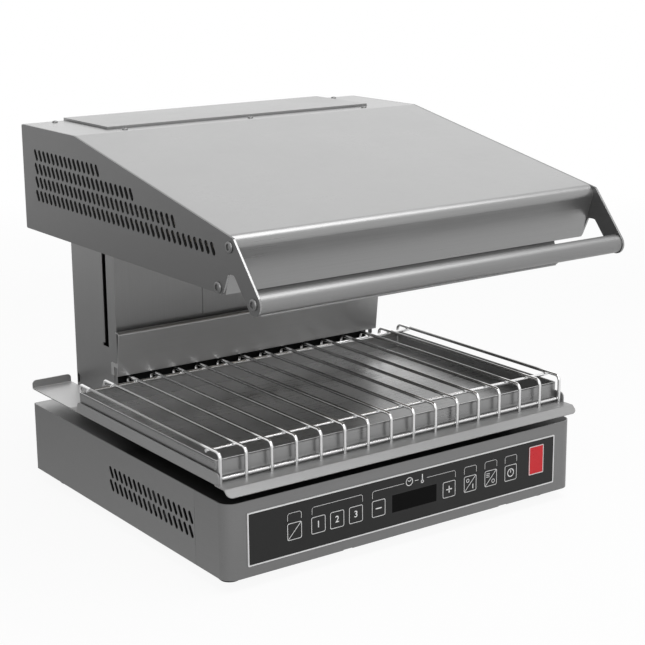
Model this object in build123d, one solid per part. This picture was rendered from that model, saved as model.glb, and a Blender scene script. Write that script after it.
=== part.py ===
from build123d import *
from math import asin, atan2, cos, degrees, floor, hypot, sin
import os

# Sheet, the overrun of cutting shapes and the gaps between pieces
sheet = 1.5
overrun = 5.0
seat_gap = 0.1
slide_gap = 0.3
shaft_gap = 0.05
hex_sides = 6
full_turn = 360.0

# Base casing
base_width = 600.0
base_depth = 551.5
base_height = 104.0
fascia_return = 76.0
fascia_radius = 18.0
fascia_notch_width = 15.0
fascia_notch_height = 1.2
fascia_notch_shares = (-0.363, 0.553)
shell_bend = 3.0
seam = 0.4
wire_hole_width = 90.0
wire_hole_depth = 30.0

# Base vents: two rows of slanted slots in each side
base_vent_pitch = 13.6
base_vent_run = 218.0
base_vent_front = 90.4
base_vent_drop = 33.0
base_vent_row = 19.5
base_vent_rows = 2
base_vent_rise = 16.0
base_vent_lean = 9.0
vent_slot = 6.8

# Feet
foot_radius = 15.0
foot_height = 17.0
foot_inset_x = 33.0
foot_inset_y = 45.8
foot_chamfer = 1.5
foot_stem_radius = 4.0
foot_stem_head = 2.0

# Control panel
panel_side_gap = 37.0
panel_bottom = 14.7
panel_top_gap = 16.4
panel_left_reach = 5.0
panel_corner = 1.2
bezel_border = 1.7
bezel_rise = 1.6
glass_rise = 1.2
panel_window_margin = 46.0
panel_window_edge = 13.0
badge_width = 28.0
badge_thickness = 0.6
badge_side_gap = 19.4
badge_top_gap = 9.35
badge_foot_gap = 20.55
display_width = 76.6
display_height = 26.8
display_offset = 3.3
board_setback = 12.0
board_thickness = 1.6
board_side_gap = 28.0
board_edge = 4.5
standoff_radius = 3.0
standoff_inset = 5.0

# Electrics on the bottom plate
power_board_width = 200.0
power_board_depth = 150.0
power_board_front = 150.0
power_board_lift = 8.0
relay_width = 30.0
relay_depth = 22.0
relay_height = 26.0
relay_pitch = 44.0
relay_count = 4
transformer_width = 52.0
transformer_depth = 62.0
transformer_height = 50.0
transformer_side_gap = 125.0
winding_width = 68.0
winding_height = 34.0
terminal_width = 66.0
terminal_depth = 24.0
terminal_height = 22.0
terminal_gap = 62.0

# Cooling fan behind the left vents
fan_headroom = 24.0
fan_rise = 1.25
fan_depth = 25.0
fan_rim = 2.5
fan_hub = 16.0
fan_shaft = 3.0
fan_strut = 5.0
fan_plate = 3.0
fan_blades = 7
fan_blade_chord = 20.0
fan_blade_thickness = 1.6
fan_tip_gap = 1.5
fan_blade_pitch = 35.0

# Cable gland in the rear wall
gland_side_gap = 70.0
gland_z = 40.0
gland_bore = 5.0
gland_thread = 10.0
gland_hex = 13.0
gland_flange = 6.0
gland_dome = 14.0
gland_dome_radius = 11.5
gland_nut_thickness = 5.0
gland_tail = 3.0

# Column
column_side_gap = 72.0
column_depth = 134.0
column_rear_gap = 8.5
column_height = 427.0
cap_rise = 4.0
cap_skirt = 8.0
guide_slot_setback = 25.0
guide_slot_width = 11.5
guide_slot_foot = 101.5
guide_slot_head = 11.0
slot_notch_depth = 6.0
slot_notch_height = 5.0
cable_notch_radius = 8.0
cable_notch_rise = 31.0
cover_width = 160.0
cover_sheet = 1.0
cover_foot = 136.0
cover_head = 8.0

# Lift: rails, rollers, carriage and gas springs
lift_travel = 135.0
roller_radius = 12.5
roller_width = 10.0
roller_pin_radius = 4.0
roller_pin_head = 3.0
roller_pin_flange = 7.0
roller_spacing = 76.0
roller_foot = 19.0
rail_inset = 35.0
rail_wall = 2.0
rail_gap = 3.0
rail_head = 6.0
buffer_height = 16.0
arm_thickness = 5.0
arm_inset = 78.0
arm_foot = 7.5
arm_height = 114.0
bar_height = 54.0
bar_thickness = 4.0
bar_margin = 18.0
gas_x = 110.0
gas_setback = 76.0
gas_radius = 11.0
gas_bore = 9.5
gas_length = 225.0
gas_end = 4.0
gas_foot_radius = 18.0
gas_foot_height = 6.0
gas_reserve = 20.0
piston_height = 15.0
gas_rod_radius = 4.0
rod_collar_radius = 7.0
rod_collar_height = 5.0
rod_nut_radius = 8.0
rod_nut_height = 6.0
rod_tail = 3.0

# Push panel in front of the column
push_overlap = 8.9
push_height = 66.8
push_standoff = 23.5
push_lean = 7.7
push_foot_gap = 2.0
push_flange = 10.0
push_bend = 2.0
push_cheek_depth = 19.0
push_cheek_height = 19.0
push_cheek_strap = 6.0
push_cheek_leg = 8.5
push_travel = 3.0
push_pin_radius = 4.0
push_pin_inset = 78.0
push_pin_reach = 18.0
bush_radius = 7.0
bush_flange_radius = 10.0
bush_flange = 2.0
bush_length = 8.0
clip_radius = 8.0
clip_thickness = 1.5
sensor_width = 24.0
sensor_half_height = 17.0
sensor_wall = 4.0
sensor_gap = 1.0

# Tray, its rails, the drip pan and the rack
tray_rail_height = 20.2
tray_rail_width = 25.0
tray_rail_side_gap = 110.0
tray_rail_front = 40.0
tray_rail_rear_gap = 19.0
runner_height = 14.0
runner_flange = 13.0
tray_setback = 1.0
tray_lip_reach = 10.0
tray_lip_drop = 9.3
tray_lip_corner = 8.0
tray_lip_depth = 24.0
tray_side_inset = 2.5
tray_wall_front = 17.0
tray_wall_height = 15.0
tray_wall_corner = 7.0
tray_rear_overhang = 5.5
tray_rear_flange = 12.0
tray_bend = 1.0
tray_column_gap = 5.0
pan_side_inset = 6.0
pan_front = 30.0
pan_rear_gap = 2.0
pan_height = 29.0
pan_wall = 1.2
pan_corner = 4.0
rack_wire = 2.4
rack_wires = 16
rack_side_gap = 8.0
rack_height = 43.0
rack_leg = 22.0
rack_rear_gap = 3.5
rack_bend = 8.0
rack_weld = 0.8
rack_cross_front = 52.0
rack_cross_rear_gap = 29.0
rack_cross_reach = 3.0
rack_low_cross = 5.0
rack_low_reach = 3.0

# Hood shell
side_plate = 3.0
hood_rear_inset = 3.0
hood_head = 0.5
hood_height = 153.0
top_flat = 165.5
knee_overhang = 33.0
knee_drop = 80.0
knee_radius = 12.5
plate_knee_radius = 7.0
top_knee_radius = 6.0
hood_corner = 3.0
front_foot_overhang = 9.0
notch_overhang = 7.0
notch_height = 28.5
notch_top_overhang = 20.7
notch_radius = 5.0
notch_foot_radius = 6.0
hood_column_gap = 3.0
hood_vent_pitch = 13.4
hood_vent_rear = 40.0
hood_vent_drop = 32.5
hood_vent_row = 19.7
hood_vent_rows = 4
hood_vent_rise = 15.8
hood_vent_lean = 8.0
hood_vent_margin = 98.0
hood_vent_slot = 7.0

# Hood fittings
handle_overhang = 75.5
handle_rise = 0.5
handle_radius = 12.7
handle_wall = 1.5
handle_plug = 18.0
handle_arm_radius = 14.0
bolt_head_radius = 7.4
bolt_head_height = 2.4
bolt_radius = 4.0
bolt_length = 16.0
bolt_socket = 4.4
bolt_socket_depth = 1.5
side_bolt_radius = 3.0
upper_bolt_inset = 8.5
upper_bolt_drop = 11.5
lower_bolt_inset = 12.0
lower_bolt_rise = 7.5
screw_head_radius = 4.2
screw_head_height = 2.2
screw_radius = 2.0
screw_length = 7.0
button_round_share = 0.8
top_screw_front = 15.5
top_screw_front_inset = 89.0
top_screw_rear = 12.0
top_screw_rear_inset = 48.0
shield_side_gap = 46.0
shield_front = 2.0
shield_flange = 22.0
shield_drop = 33.5
shield_lean = 12.0
shield_corner = 5.0

# Heating
reflector_sheet = 1.0
reflector_side_gap = 17.0
reflector_front = 25.0
reflector_rear_gap = 29.0
reflector_height = 45.0
window_inset = 25.0
element_count = 5
element_radius = 6.0
element_lift = 16.0
element_cap_length = 20.0
element_cap_size = 24.0
element_socket = 8.0
insulation_inset = 5.0
insulation_thickness = 20.0
cutout_radius = 9.0
cutout_height = 12.0
cutout_side_gap = 30.0
cutout_rear_gap = 40.0
cutout_flange = 14.0
cutout_flange_height = 2.0

# Places worked out from the driving dimensions
half_width = base_width / 2
inner_half_width = half_width - sheet
panel_width = base_width - 2 * panel_side_gap
panel_height = base_height - panel_bottom - panel_top_gap
panel_middle = panel_bottom + panel_height / 2
board_width = panel_width - 2 * board_side_gap
board_height = panel_height - 2 * board_edge
gland_x = half_width - gland_side_gap
transformer_x = half_width - transformer_side_gap
base_vent_top = base_height - base_vent_drop
fan_size = base_height - fan_headroom
fan_bore = fan_size / 2 - fan_rim
column_half = half_width - column_side_gap
column_rear = base_depth - column_rear_gap
column_front = column_rear - column_depth
column_top = base_height + column_height
arm_middle = column_front + guide_slot_setback + guide_slot_width / 2
arm_front = arm_middle - arm_thickness / 2
arm_back = arm_middle + arm_thickness / 2
hood_top = column_top + hood_head
hood_bottom = hood_top - hood_height
hood_rear = column_rear - hood_rear_inset
hood_inner_half = half_width - side_plate
hood_floor = hood_bottom + sheet
well_half = column_half + hood_column_gap
well_front = column_front - hood_column_gap
arm_bottom = hood_bottom + arm_foot
arm_top = arm_bottom + arm_height
shelf_bottom = arm_top - bar_thickness
rail_x = column_half - rail_inset
rail_half = roller_radius + slide_gap
rail_front = arm_back + rail_gap
roller_front = rail_front + rail_gap
roller_back = roller_front + roller_width
rail_web = roller_back + rail_gap
bar_half = rail_x - rail_half - rail_wall - rail_gap
gas_y = column_front + gas_setback
gas_top = base_height + gas_length
tray_floor = base_height + tray_rail_height + slide_gap + sheet
tray_half = half_width - tray_side_inset
tray_rail_x = half_width - tray_rail_side_gap
rack_span = base_width - 2 * rack_side_gap
pan_top = tray_floor + pan_height
rack_top = tray_floor + rack_height
rack_wire_z = rack_top - rack_wire
rack_rear = column_front - rack_rear_gap
push_bottom = rack_top + push_foot_gap
push_front = column_front - push_standoff
push_half = column_half + push_overlap
push_pin_x = column_half - push_pin_inset
push_pin_z = push_bottom + push_height / 2
push_pin_end = column_front + sheet + push_pin_reach
fan_y = base_vent_front + base_vent_run / 2 - base_vent_lean / 2
fan_z = base_height / 2 + fan_rise
knee = (-knee_overhang, hood_top - knee_drop)
top_knee = (hood_rear - top_flat, hood_top)
handle = (-handle_overhang, hood_bottom + handle_rise)
reflector_half = hood_inner_half - reflector_side_gap
reflector_rear = column_front - reflector_rear_gap
reflector_top = hood_floor + reflector_height
window_half = reflector_half - window_inset
window_front = reflector_front + window_inset
window_rear = reflector_rear - window_inset
element_z = hood_floor + element_lift
origin_y = (base_depth + gland_flange + gland_dome - handle_overhang - handle_arm_radius) / 2
placing = Pos(0, -origin_y, foot_height)


# Shapes that several pieces share
def block(x, y, z):
    """Box between a low and a high value on each axis."""
    low_corner, high_corner = zip(x, y, z)
    size = [high - low for low, high in zip(low_corner, high_corner)]
    middle = [(low + high) / 2 for low, high in zip(low_corner, high_corner)]
    return Pos(*middle) * Box(*size)


def rod(radius, start, end):
    """Round bar from one point to another."""
    span = Vector(*end) - Vector(*start)
    seat = (Align.CENTER, Align.CENTER, Align.MIN)
    return Plane(origin=start, z_dir=span) * Cylinder(radius, span.length, align=seat)


def tube(radius, bore, start, end):
    """Round bar with a bore right through it."""
    reach = (Vector(*end) - Vector(*start)).normalized() * overrun
    return rod(radius, start, end) - rod(bore, Vector(*start) - reach, Vector(*end) + reach)


def hex_bar(radius, start, end):
    """Hexagonal bar from one point to another."""
    span = Vector(*end) - Vector(*start)
    return extrude(Plane(origin=start, z_dir=span) * RegularPolygon(radius, hex_sides), amount=span.length)


def group(shapes):
    """Separate solids kept together as one piece of the list."""
    return Compound([solid for shape in shapes for solid in shape.solids()])


def both_sides(shape):
    """The shape and its mirror image on the other side of the grill."""
    return [shape, mirror(shape, about=Plane.YZ)]


def outline(points, radii):
    """Closed flat outline with a radius for each corner."""
    return make_face(FilletPolyline(*points, radius=radii, close=True))


def sheet_section(points, thickness, bend):
    """Section of a bent sheet: the points run along one face, the thickness lies to their left."""
    path = [Vector(*point) for point in points]
    headings = [(end - start).normalized() for start, end in zip(path, path[1:])]
    far = []
    near_radii = []
    far_radii = []
    for index, point in enumerate(path):
        before = headings[max(index - 1, 0)]
        after = headings[min(index, len(headings) - 1)]
        left_before = Vector(-before.Y, before.X)
        left_after = Vector(-after.Y, after.X)
        miter = (left_before + left_after) * (1 / (1 + left_before.dot(left_after)))
        far.append(point + miter * thickness)
        turns_to_far = before.cross(after).Z * thickness > 0
        is_bend = 0 < index < len(path) - 1
        outer_bend = bend + abs(thickness)
        near_radii.append((outer_bend if turns_to_far else bend) if is_bend else 0)
        far_radii.append((bend if turns_to_far else outer_bend) if is_bend else 0)
    return outline(path + far[::-1], near_radii + far_radii[::-1])


def prism_x(face, low, high):
    """Outline drawn in (y, z), carried from one x to another."""
    return extrude(Plane.YZ.offset(low) * face, amount=high - low)


def prism_y(face, low, high):
    """Outline drawn in (x, z), carried from one y to another."""
    return extrude(Plane.XZ.offset(-high) * face, amount=high - low)


def prism_z(face, low, high):
    """Outline drawn in (x, y), carried from one z to another."""
    return extrude(Plane.XY.offset(low) * face, amount=high - low)


def lowest_corners(strip):
    """The two lowest edges that run through a sheet's thickness."""
    ends = [edge for edge in strip.edges() if abs(edge.length - sheet) < seat_gap]
    return sorted(ends, key=lambda edge: edge.center().Z)[:2]


def vent_cutter(tops, lean, rise, width):
    """Slanted slots through both sides of the grill, each given by its upper end (y, z)."""
    length = hypot(lean, rise)
    turn = degrees(atan2(rise, lean))
    slots = [Pos(y - lean / 2, z - rise / 2) * SlotOverall(length, width, rotation=turn) for y, z in tops]
    return extrude(Plane.YZ * (Sketch() + slots), amount=half_width + overrun, both=True)


def floor_outline(gap):
    """Outline of a plate that drops into the base casing."""
    edge = sheet + gap
    corners = [
        (-half_width + edge, edge),
        (half_width - edge, edge),
        (half_width - edge, base_depth - edge),
        (-half_width + edge, base_depth - edge),
    ]
    return outline(corners, [fascia_radius - edge, fascia_radius - edge, shell_bend, shell_bend])


# Base casing
def fascia():
    """Front wall that wraps round both corners, with the control window."""
    path = [
        (-half_width, fascia_return),
        (-half_width, 0),
        (half_width, 0),
        (half_width, fascia_return),
    ]
    wall = prism_z(sheet_section(path, sheet, fascia_radius - sheet), 0, base_height)
    window_half_width = panel_width / 2 - panel_window_margin
    wall -= block(
        (-window_half_width, window_half_width),
        (-overrun, sheet + overrun),
        (panel_bottom + panel_window_edge, panel_bottom + panel_height - panel_window_edge),
    )
    for share in fascia_notch_shares:
        middle = share * half_width
        wall -= block(
            (middle - fascia_notch_width / 2, middle + fascia_notch_width / 2),
            (-overrun, sheet + overrun),
            (-overrun, fascia_notch_height),
        )
    return wall


def base_shell():
    """Side and rear walls in one bent sheet, with vents and the gland's hole."""
    front = fascia_return + seam
    path = [(-half_width, front), (-half_width, base_depth), (half_width, base_depth), (half_width, front)]
    wall = prism_z(sheet_section(path, -sheet, shell_bend), 0, base_height)
    count = 1 + floor(base_vent_run / base_vent_pitch)
    tops = [
        (base_vent_front + column * base_vent_pitch, base_vent_top - row * base_vent_row)
        for row in range(base_vent_rows)
        for column in range(count)
    ]
    wall -= vent_cutter(tops, base_vent_lean, base_vent_rise, vent_slot)
    rear = (gland_x, base_depth + overrun, gland_z)
    inside = (gland_x, base_depth - sheet - overrun, gland_z)
    return wall - rod(gland_thread + seat_gap, inside, rear)


def base_top():
    """Top plate of the base, with a hole for the wires into the column."""
    plate = prism_z(floor_outline(seat_gap), base_height - sheet, base_height)
    middle = (column_front + column_rear) / 2
    return plate - block(
        (-wire_hole_width / 2, wire_hole_width / 2),
        (middle - wire_hole_depth / 2, middle + wire_hole_depth / 2),
        (base_height - sheet - overrun, base_height + overrun),
    )


def foot_places():
    """Centres of the four feet."""
    across = half_width - foot_inset_x
    return [(x, y) for x in (-across, across) for y in (foot_inset_y, base_depth - foot_inset_y)]


def base_bottom():
    """Bottom plate, with a hole for each foot's stem."""
    plate = prism_z(floor_outline(seat_gap), 0, sheet)
    for x, y in foot_places():
        plate -= rod(foot_stem_radius + seat_gap, (x, y, -overrun), (x, y, sheet + overrun))
    return plate


def feet():
    """Rubber feet with stems that snap through the bottom plate."""
    pads = []
    for x, y in foot_places():
        pad = rod(foot_radius, (x, y, -foot_height), (x, y, 0))
        pad = chamfer(pad.edges().sort_by(Axis.Z)[0], foot_chamfer)
        stem_top = sheet + seat_gap
        pad += rod(foot_stem_radius, (x, y, 0), (x, y, stem_top))
        head_radius = foot_stem_radius + foot_stem_head
        pad += rod(head_radius, (x, y, stem_top), (x, y, stem_top + foot_stem_head))
        pads.append(pad)
    return group(pads)


# Control panel
def panel_outline(inset):
    """Outline of the control panel, which reaches further to the left, drawn in by an inset."""
    width = panel_width + panel_left_reach - 2 * inset
    height = panel_height - 2 * inset
    return Pos(-panel_left_reach / 2, panel_middle) * RectangleRounded(width, height, panel_corner)


def control_bezel():
    """Thin pale frame round the touch glass."""
    frame = prism_y(panel_outline(0), -bezel_rise, 0)
    return frame - prism_y(panel_outline(bezel_border), -bezel_rise - overrun, overrun)


def control_glass():
    """Black touch glass."""
    return prism_y(panel_outline(bezel_border + seat_gap), -glass_rise, 0)


def badge_plate():
    """Blank coloured plate near the right end of the glass."""
    right = panel_width / 2 - bezel_border - badge_side_gap
    height = panel_height - badge_top_gap - badge_foot_gap
    middle = panel_middle + (badge_foot_gap - badge_top_gap) / 2
    face = Pos(right - badge_width / 2, middle) * RectangleRounded(badge_width, height, sheet)
    return prism_y(face, -glass_rise - badge_thickness, -glass_rise)


def control_board():
    """Circuit board behind the touch glass."""
    return block(
        (-board_width / 2, board_width / 2),
        (board_setback, board_setback + board_thickness),
        (panel_middle - board_height / 2, panel_middle + board_height / 2),
    )


def board_standoffs():
    """Posts that carry the control board on the fascia."""
    across = board_width / 2 - standoff_inset
    up = board_height / 2 - standoff_inset
    places = [(x, panel_middle + z) for x in (-across, across) for z in (-up, up)]
    return group([rod(standoff_radius, (x, sheet, z), (x, board_setback, z)) for x, z in places])


def display_module():
    """Display on the front of the control board."""
    return block(
        (display_offset - display_width / 2, display_offset + display_width / 2),
        (sheet, board_setback),
        (panel_middle - display_height / 2, panel_middle + display_height / 2),
    )


# Electrics in the base
def power_board():
    """Power board on legs, with its row of relays."""
    low = sheet + power_board_lift
    high = low + board_thickness
    rear = power_board_front + power_board_depth
    board = block((-power_board_width / 2, power_board_width / 2), (power_board_front, rear), (low, high))
    for x in (-power_board_width / 2 + standoff_inset, power_board_width / 2 - standoff_inset):
        for y in (power_board_front + standoff_inset, rear - standoff_inset):
            board += rod(standoff_radius, (x, y, sheet), (x, y, low))
    relays = []
    for index in range(relay_count):
        x = (index - (relay_count - 1) / 2) * relay_pitch
        y = power_board_front + power_board_depth / 2
        relays.append(block(
            (x - relay_width / 2, x + relay_width / 2),
            (y - relay_depth / 2, y + relay_depth / 2),
            (high, high + relay_height),
        ))
    return group([board] + relays)


def transformer():
    """Mains transformer: core with the winding standing out of both ends."""
    front = power_board_front
    rear = front + transformer_depth
    core_half = transformer_width / 2
    core = block((transformer_x - core_half, transformer_x + core_half), (front, rear),
                 (sheet, sheet + transformer_height))
    middle = sheet + transformer_height / 2
    winding_half = winding_width / 2
    winding_up = winding_height / 2
    margin = (transformer_depth - winding_height) / 2
    return core + block((transformer_x - winding_half, transformer_x + winding_half),
                        (front + margin, rear - margin), (middle - winding_up, middle + winding_up))


def mains_terminal():
    """Terminal block inside the rear wall, beside the gland."""
    rear = base_depth - sheet - terminal_gap
    left = gland_x - terminal_width / 2
    depth = (rear - terminal_depth, rear)
    return block((left, left + terminal_width), depth, (sheet, sheet + terminal_height))


def fan_frame():
    """Square fan frame on the left wall, with a strutted centre plate and shaft."""
    outer = -inner_half_width
    inner = outer + fan_depth
    reach = fan_size / 2
    frame = block((outer, inner), (fan_y - reach, fan_y + reach), (fan_z - reach, fan_z + reach))
    frame -= rod(fan_bore, (outer - overrun, fan_y, fan_z), (inner + overrun, fan_y, fan_z))
    plate_side = inner - fan_plate
    plate = rod(fan_hub, (plate_side, fan_y, fan_z), (inner, fan_y, fan_z))
    plate += block((plate_side, inner), (fan_y - fan_bore - sheet, fan_y + fan_bore + sheet),
                   (fan_z - fan_strut / 2, fan_z + fan_strut / 2))
    plate += block((plate_side, inner), (fan_y - fan_strut / 2, fan_y + fan_strut / 2),
                   (fan_z - fan_bore - sheet, fan_z + fan_bore + sheet))
    shaft = rod(fan_shaft, (outer + fan_plate, fan_y, fan_z), (inner, fan_y, fan_z))
    return frame + plate + shaft


def fan_rotor():
    """Fan hub with twisted blades, turning on the frame's shaft."""
    outer = -inner_half_width + fan_plate
    inner = -inner_half_width + fan_depth - fan_plate - slide_gap
    hub = rod(fan_hub, (outer, fan_y, fan_z), (inner, fan_y, fan_z))
    root = fan_hub - fan_blade_thickness
    tip = fan_bore - fan_tip_gap
    blade = Pos(0, 0, (root + tip) / 2) * Rot(Z=fan_blade_pitch) * Box(
        fan_blade_thickness, fan_blade_chord, tip - root)
    centre = Pos((outer + inner) / 2, fan_y, fan_z)
    for index in range(fan_blades):
        hub += centre * Rot(X=full_turn * index / fan_blades) * blade
    bore = rod(fan_shaft + shaft_gap, (outer - overrun, fan_y, fan_z), (inner + overrun, fan_y, fan_z))
    return hub - bore


def cable_gland():
    """Gland with a clear bore for the supply cord, which isn't part of the model."""
    wall = base_depth
    inside = wall - sheet - gland_nut_thickness - gland_tail
    body = rod(gland_thread, (gland_x, inside, gland_z), (gland_x, wall, gland_z))
    body += hex_bar(gland_hex, (gland_x, wall, gland_z), (gland_x, wall + gland_flange, gland_z))
    tip = wall + gland_flange + gland_dome
    body += rod(gland_dome_radius, (gland_x, wall + gland_flange, gland_z), (gland_x, tip, gland_z))
    return body - rod(gland_bore, (gland_x, inside - overrun, gland_z), (gland_x, tip + overrun, gland_z))


def gland_nut():
    """Lock nut of the gland on the inside of the rear wall."""
    face = base_depth - sheet
    back = face - gland_nut_thickness
    nut = hex_bar(gland_hex, (gland_x, back, gland_z), (gland_x, face, gland_z))
    hole_start = (gland_x, back - overrun, gland_z)
    return nut - rod(gland_thread + seat_gap, hole_start, (gland_x, face + overrun, gland_z))


# Column
def column_front_panel():
    """Front panel of the column, with holes for the push panel's bushes."""
    depth = (column_front, column_front + sheet)
    panel = block((-column_half, column_half), depth, (base_height, column_top))
    for x in (-push_pin_x, push_pin_x):
        start = (x, column_front - overrun, push_pin_z)
        panel -= rod(bush_radius + seat_gap, start, (x, column_front + sheet + overrun, push_pin_z))
    return panel


def column_cover():
    """Plain strip over the middle of the column's front."""
    return block(
        (-cover_width / 2, cover_width / 2),
        (column_front - cover_sheet, column_front),
        (base_height + cover_foot, column_top - cap_skirt - cover_head),
    )


def column_sides():
    """Side panels with the slots that the lifting arms pass through."""
    front = column_front + sheet
    rear = column_rear - sheet
    panel = block((column_half - sheet, column_half), (front, rear), (base_height, column_top))
    slot_front = column_front + guide_slot_setback
    slot_rear = slot_front + guide_slot_width
    slot_low = base_height + guide_slot_foot
    across = (column_half - sheet - overrun, column_half + overrun)
    panel -= block(across, (slot_front, slot_rear), (slot_low, column_top - guide_slot_head))
    notch_rear = slot_rear + slot_notch_depth
    panel -= block(across, (slot_front, notch_rear), (slot_low, slot_low + slot_notch_height))
    notch_z = base_height + cable_notch_rise
    panel -= rod(cable_notch_radius, (across[0], rear, notch_z), (across[1], rear, notch_z))
    return group(both_sides(panel))


def column_rear_panel():
    """Rear panel of the column."""
    return block((-column_half, column_half), (column_rear - sheet, column_rear), (base_height, column_top))


def column_cap():
    """Lid with a short skirt that drops over the column."""
    reach = column_half + seat_gap + sheet
    front = column_front - seat_gap - sheet
    rear = column_rear + seat_gap + sheet
    top = column_top + cap_rise
    lid = block((-reach, reach), (front, rear), (top - cap_skirt, top))
    inside = block((-reach + sheet, reach - sheet), (front + sheet, rear - sheet),
                   (top - cap_skirt - overrun, column_top))
    return lid - inside


# Lift
def guide_rails():
    """Channels in the column that the rollers run in."""
    outer = rail_half + rail_wall
    rear = rail_web + rail_wall
    top = column_top - rail_head
    rail = block((rail_x - outer, rail_x + outer), (rail_front, rear), (base_height, top))
    rail -= block((rail_x - rail_half, rail_x + rail_half), (rail_front - overrun, rail_web),
                  (base_height - overrun, top + overrun))
    return group(both_sides(rail))


def roller_heights():
    """Heights of the lower and upper rollers with the hood raised."""
    low = arm_bottom + roller_foot
    return low, low + roller_spacing


def guide_roller(side, height):
    """Roller on its pin; side is -1 on the left and 1 on the right."""
    x = side * rail_x
    bore = roller_pin_radius + shaft_gap
    return tube(roller_radius, bore, (x, roller_front, height), (x, roller_back, height))


def roller_pins():
    """Pins through the arms, with a spacer collar and a peened end that keep the rollers on."""
    pins = []
    for height in roller_heights():
        head = arm_front - roller_pin_head
        end = roller_back + slide_gap
        pin = rod(roller_pin_radius, (rail_x, head, height), (rail_x, end + sheet, height))
        pin += rod(roller_pin_flange, (rail_x, head, height), (rail_x, arm_front, height))
        pin += rod(roller_pin_flange, (rail_x, arm_back, height), (rail_x, roller_front - slide_gap, height))
        pin += rod(roller_pin_radius + sheet, (rail_x, end, height), (rail_x, end + sheet, height))
        pins += both_sides(pin)
    return group(pins)


def stop_buffers():
    """Rubber blocks in the channels that the lower rollers come down to."""
    top = roller_heights()[0] - lift_travel - roller_radius - slide_gap
    low = top - buffer_height
    pad = block((rail_x - rail_half, rail_x + rail_half), (rail_front, rail_web), (low, top))
    return group(both_sides(pad))


def carriage_arms():
    """Plates that carry the hood, from its sides through the column's slots to the rollers."""
    plate = block((column_half - arm_inset, hood_inner_half), (arm_front, arm_back), (arm_bottom, arm_top))
    for height in roller_heights():
        hole_start = (rail_x, arm_front - overrun, height)
        plate -= rod(roller_pin_radius + seat_gap, hole_start, (rail_x, arm_back + overrun, height))
    return group(both_sides(plate))


def carriage_bar():
    """Angle bar behind the arms, with a shelf at its top for the gas springs."""
    wall_back = arm_back + bar_thickness
    wall = block((-bar_half, bar_half), (arm_back, wall_back), (arm_top - bar_height, arm_top))
    shelf_rear = gas_y + bar_margin
    shelf = block((-bar_half, bar_half), (arm_back, shelf_rear), (shelf_bottom, arm_top))
    bar = wall + shelf
    for x in (-gas_x, gas_x):
        low = (x, gas_y, shelf_bottom - overrun)
        bar -= rod(gas_rod_radius + seat_gap, low, (x, gas_y, arm_top + overrun))
    return bar


def gas_spring_cylinders():
    """Closed cylinders of the gas springs, standing on the base's top plate."""
    foot_top = base_height + gas_foot_height
    body = rod(gas_radius, (gas_x, gas_y, base_height), (gas_x, gas_y, gas_top))
    body += rod(gas_foot_radius, (gas_x, gas_y, base_height), (gas_x, gas_y, foot_top))
    body -= rod(gas_bore, (gas_x, gas_y, foot_top + gas_end), (gas_x, gas_y, gas_top - gas_end))
    body -= rod(gas_rod_radius + shaft_gap, (gas_x, gas_y, gas_top - gas_end - overrun),
                (gas_x, gas_y, gas_top + overrun))
    return group(both_sides(body))


def gas_spring_rods():
    """Rods with their pistons, collared under the carriage bar's shelf."""
    piston_top = gas_top - gas_end - gas_reserve
    piston_low = piston_top - piston_height
    collar_low = shelf_bottom - rod_collar_height
    tip = arm_top + rod_nut_height + rod_tail
    stem = rod(gas_rod_radius, (gas_x, gas_y, piston_top), (gas_x, gas_y, tip))
    stem += rod(gas_bore - shaft_gap, (gas_x, gas_y, piston_low), (gas_x, gas_y, piston_top))
    stem += rod(rod_collar_radius, (gas_x, gas_y, collar_low), (gas_x, gas_y, shelf_bottom))
    return group(both_sides(stem))


def rod_nuts():
    """Nuts that hold the rods to the carriage bar's shelf."""
    low = arm_top
    high = low + rod_nut_height
    nut = hex_bar(rod_nut_radius, (gas_x, gas_y, low), (gas_x, gas_y, high))
    nut -= rod(gas_rod_radius + seat_gap, (gas_x, gas_y, low - overrun), (gas_x, gas_y, high + overrun))
    return group(both_sides(nut))


# Push panel
def push_panel():
    """Leaning panel that a plate pushes, with a folded top edge and a notched cheek at both ends."""
    top = push_bottom + push_height
    path = [(push_front + push_lean, push_bottom), (push_front, top), (push_front + push_flange, top)]
    panel = prism_x(sheet_section(path, -sheet, push_bend), -push_half, push_half)
    cheek_top = push_bottom + push_cheek_height
    cheek_rear = push_front + push_lean + push_cheek_depth
    front_at_top = push_front + push_lean * (top - cheek_top) / push_height
    cheek_points = [
        (cheek_rear, push_bottom),
        (cheek_rear, cheek_top),
        (front_at_top + sheet / 2, cheek_top),
        (front_at_top + sheet / 2, cheek_top - push_cheek_strap),
        (cheek_rear - push_cheek_leg, cheek_top - push_cheek_strap),
        (cheek_rear - push_cheek_leg, push_bottom),
    ]
    cheek_face = outline(cheek_points, [0, push_bend, 0, 0, push_bend, 0])
    for side in both_sides(prism_x(cheek_face, push_half - sheet, push_half)):
        panel += side
    return panel


def push_pins():
    """Guide pins on the back of the push panel, with their front ends cut to its lean."""
    pin = rod(push_pin_radius, (push_pin_x, push_front, push_pin_z), (push_pin_x, push_pin_end, push_pin_z))
    slant = hypot(push_lean, push_height)
    back = push_front + sheet * slant / push_height
    ahead = push_front - overrun
    top = push_bottom + push_height
    front_points = [(ahead, push_bottom), (back + push_lean, push_bottom), (back, top), (ahead, top)]
    front_face = make_face(Polyline(*front_points, close=True))
    pin -= prism_x(front_face, push_pin_x - 2 * push_pin_radius, push_pin_x + 2 * push_pin_radius)
    return group(both_sides(pin))


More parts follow.
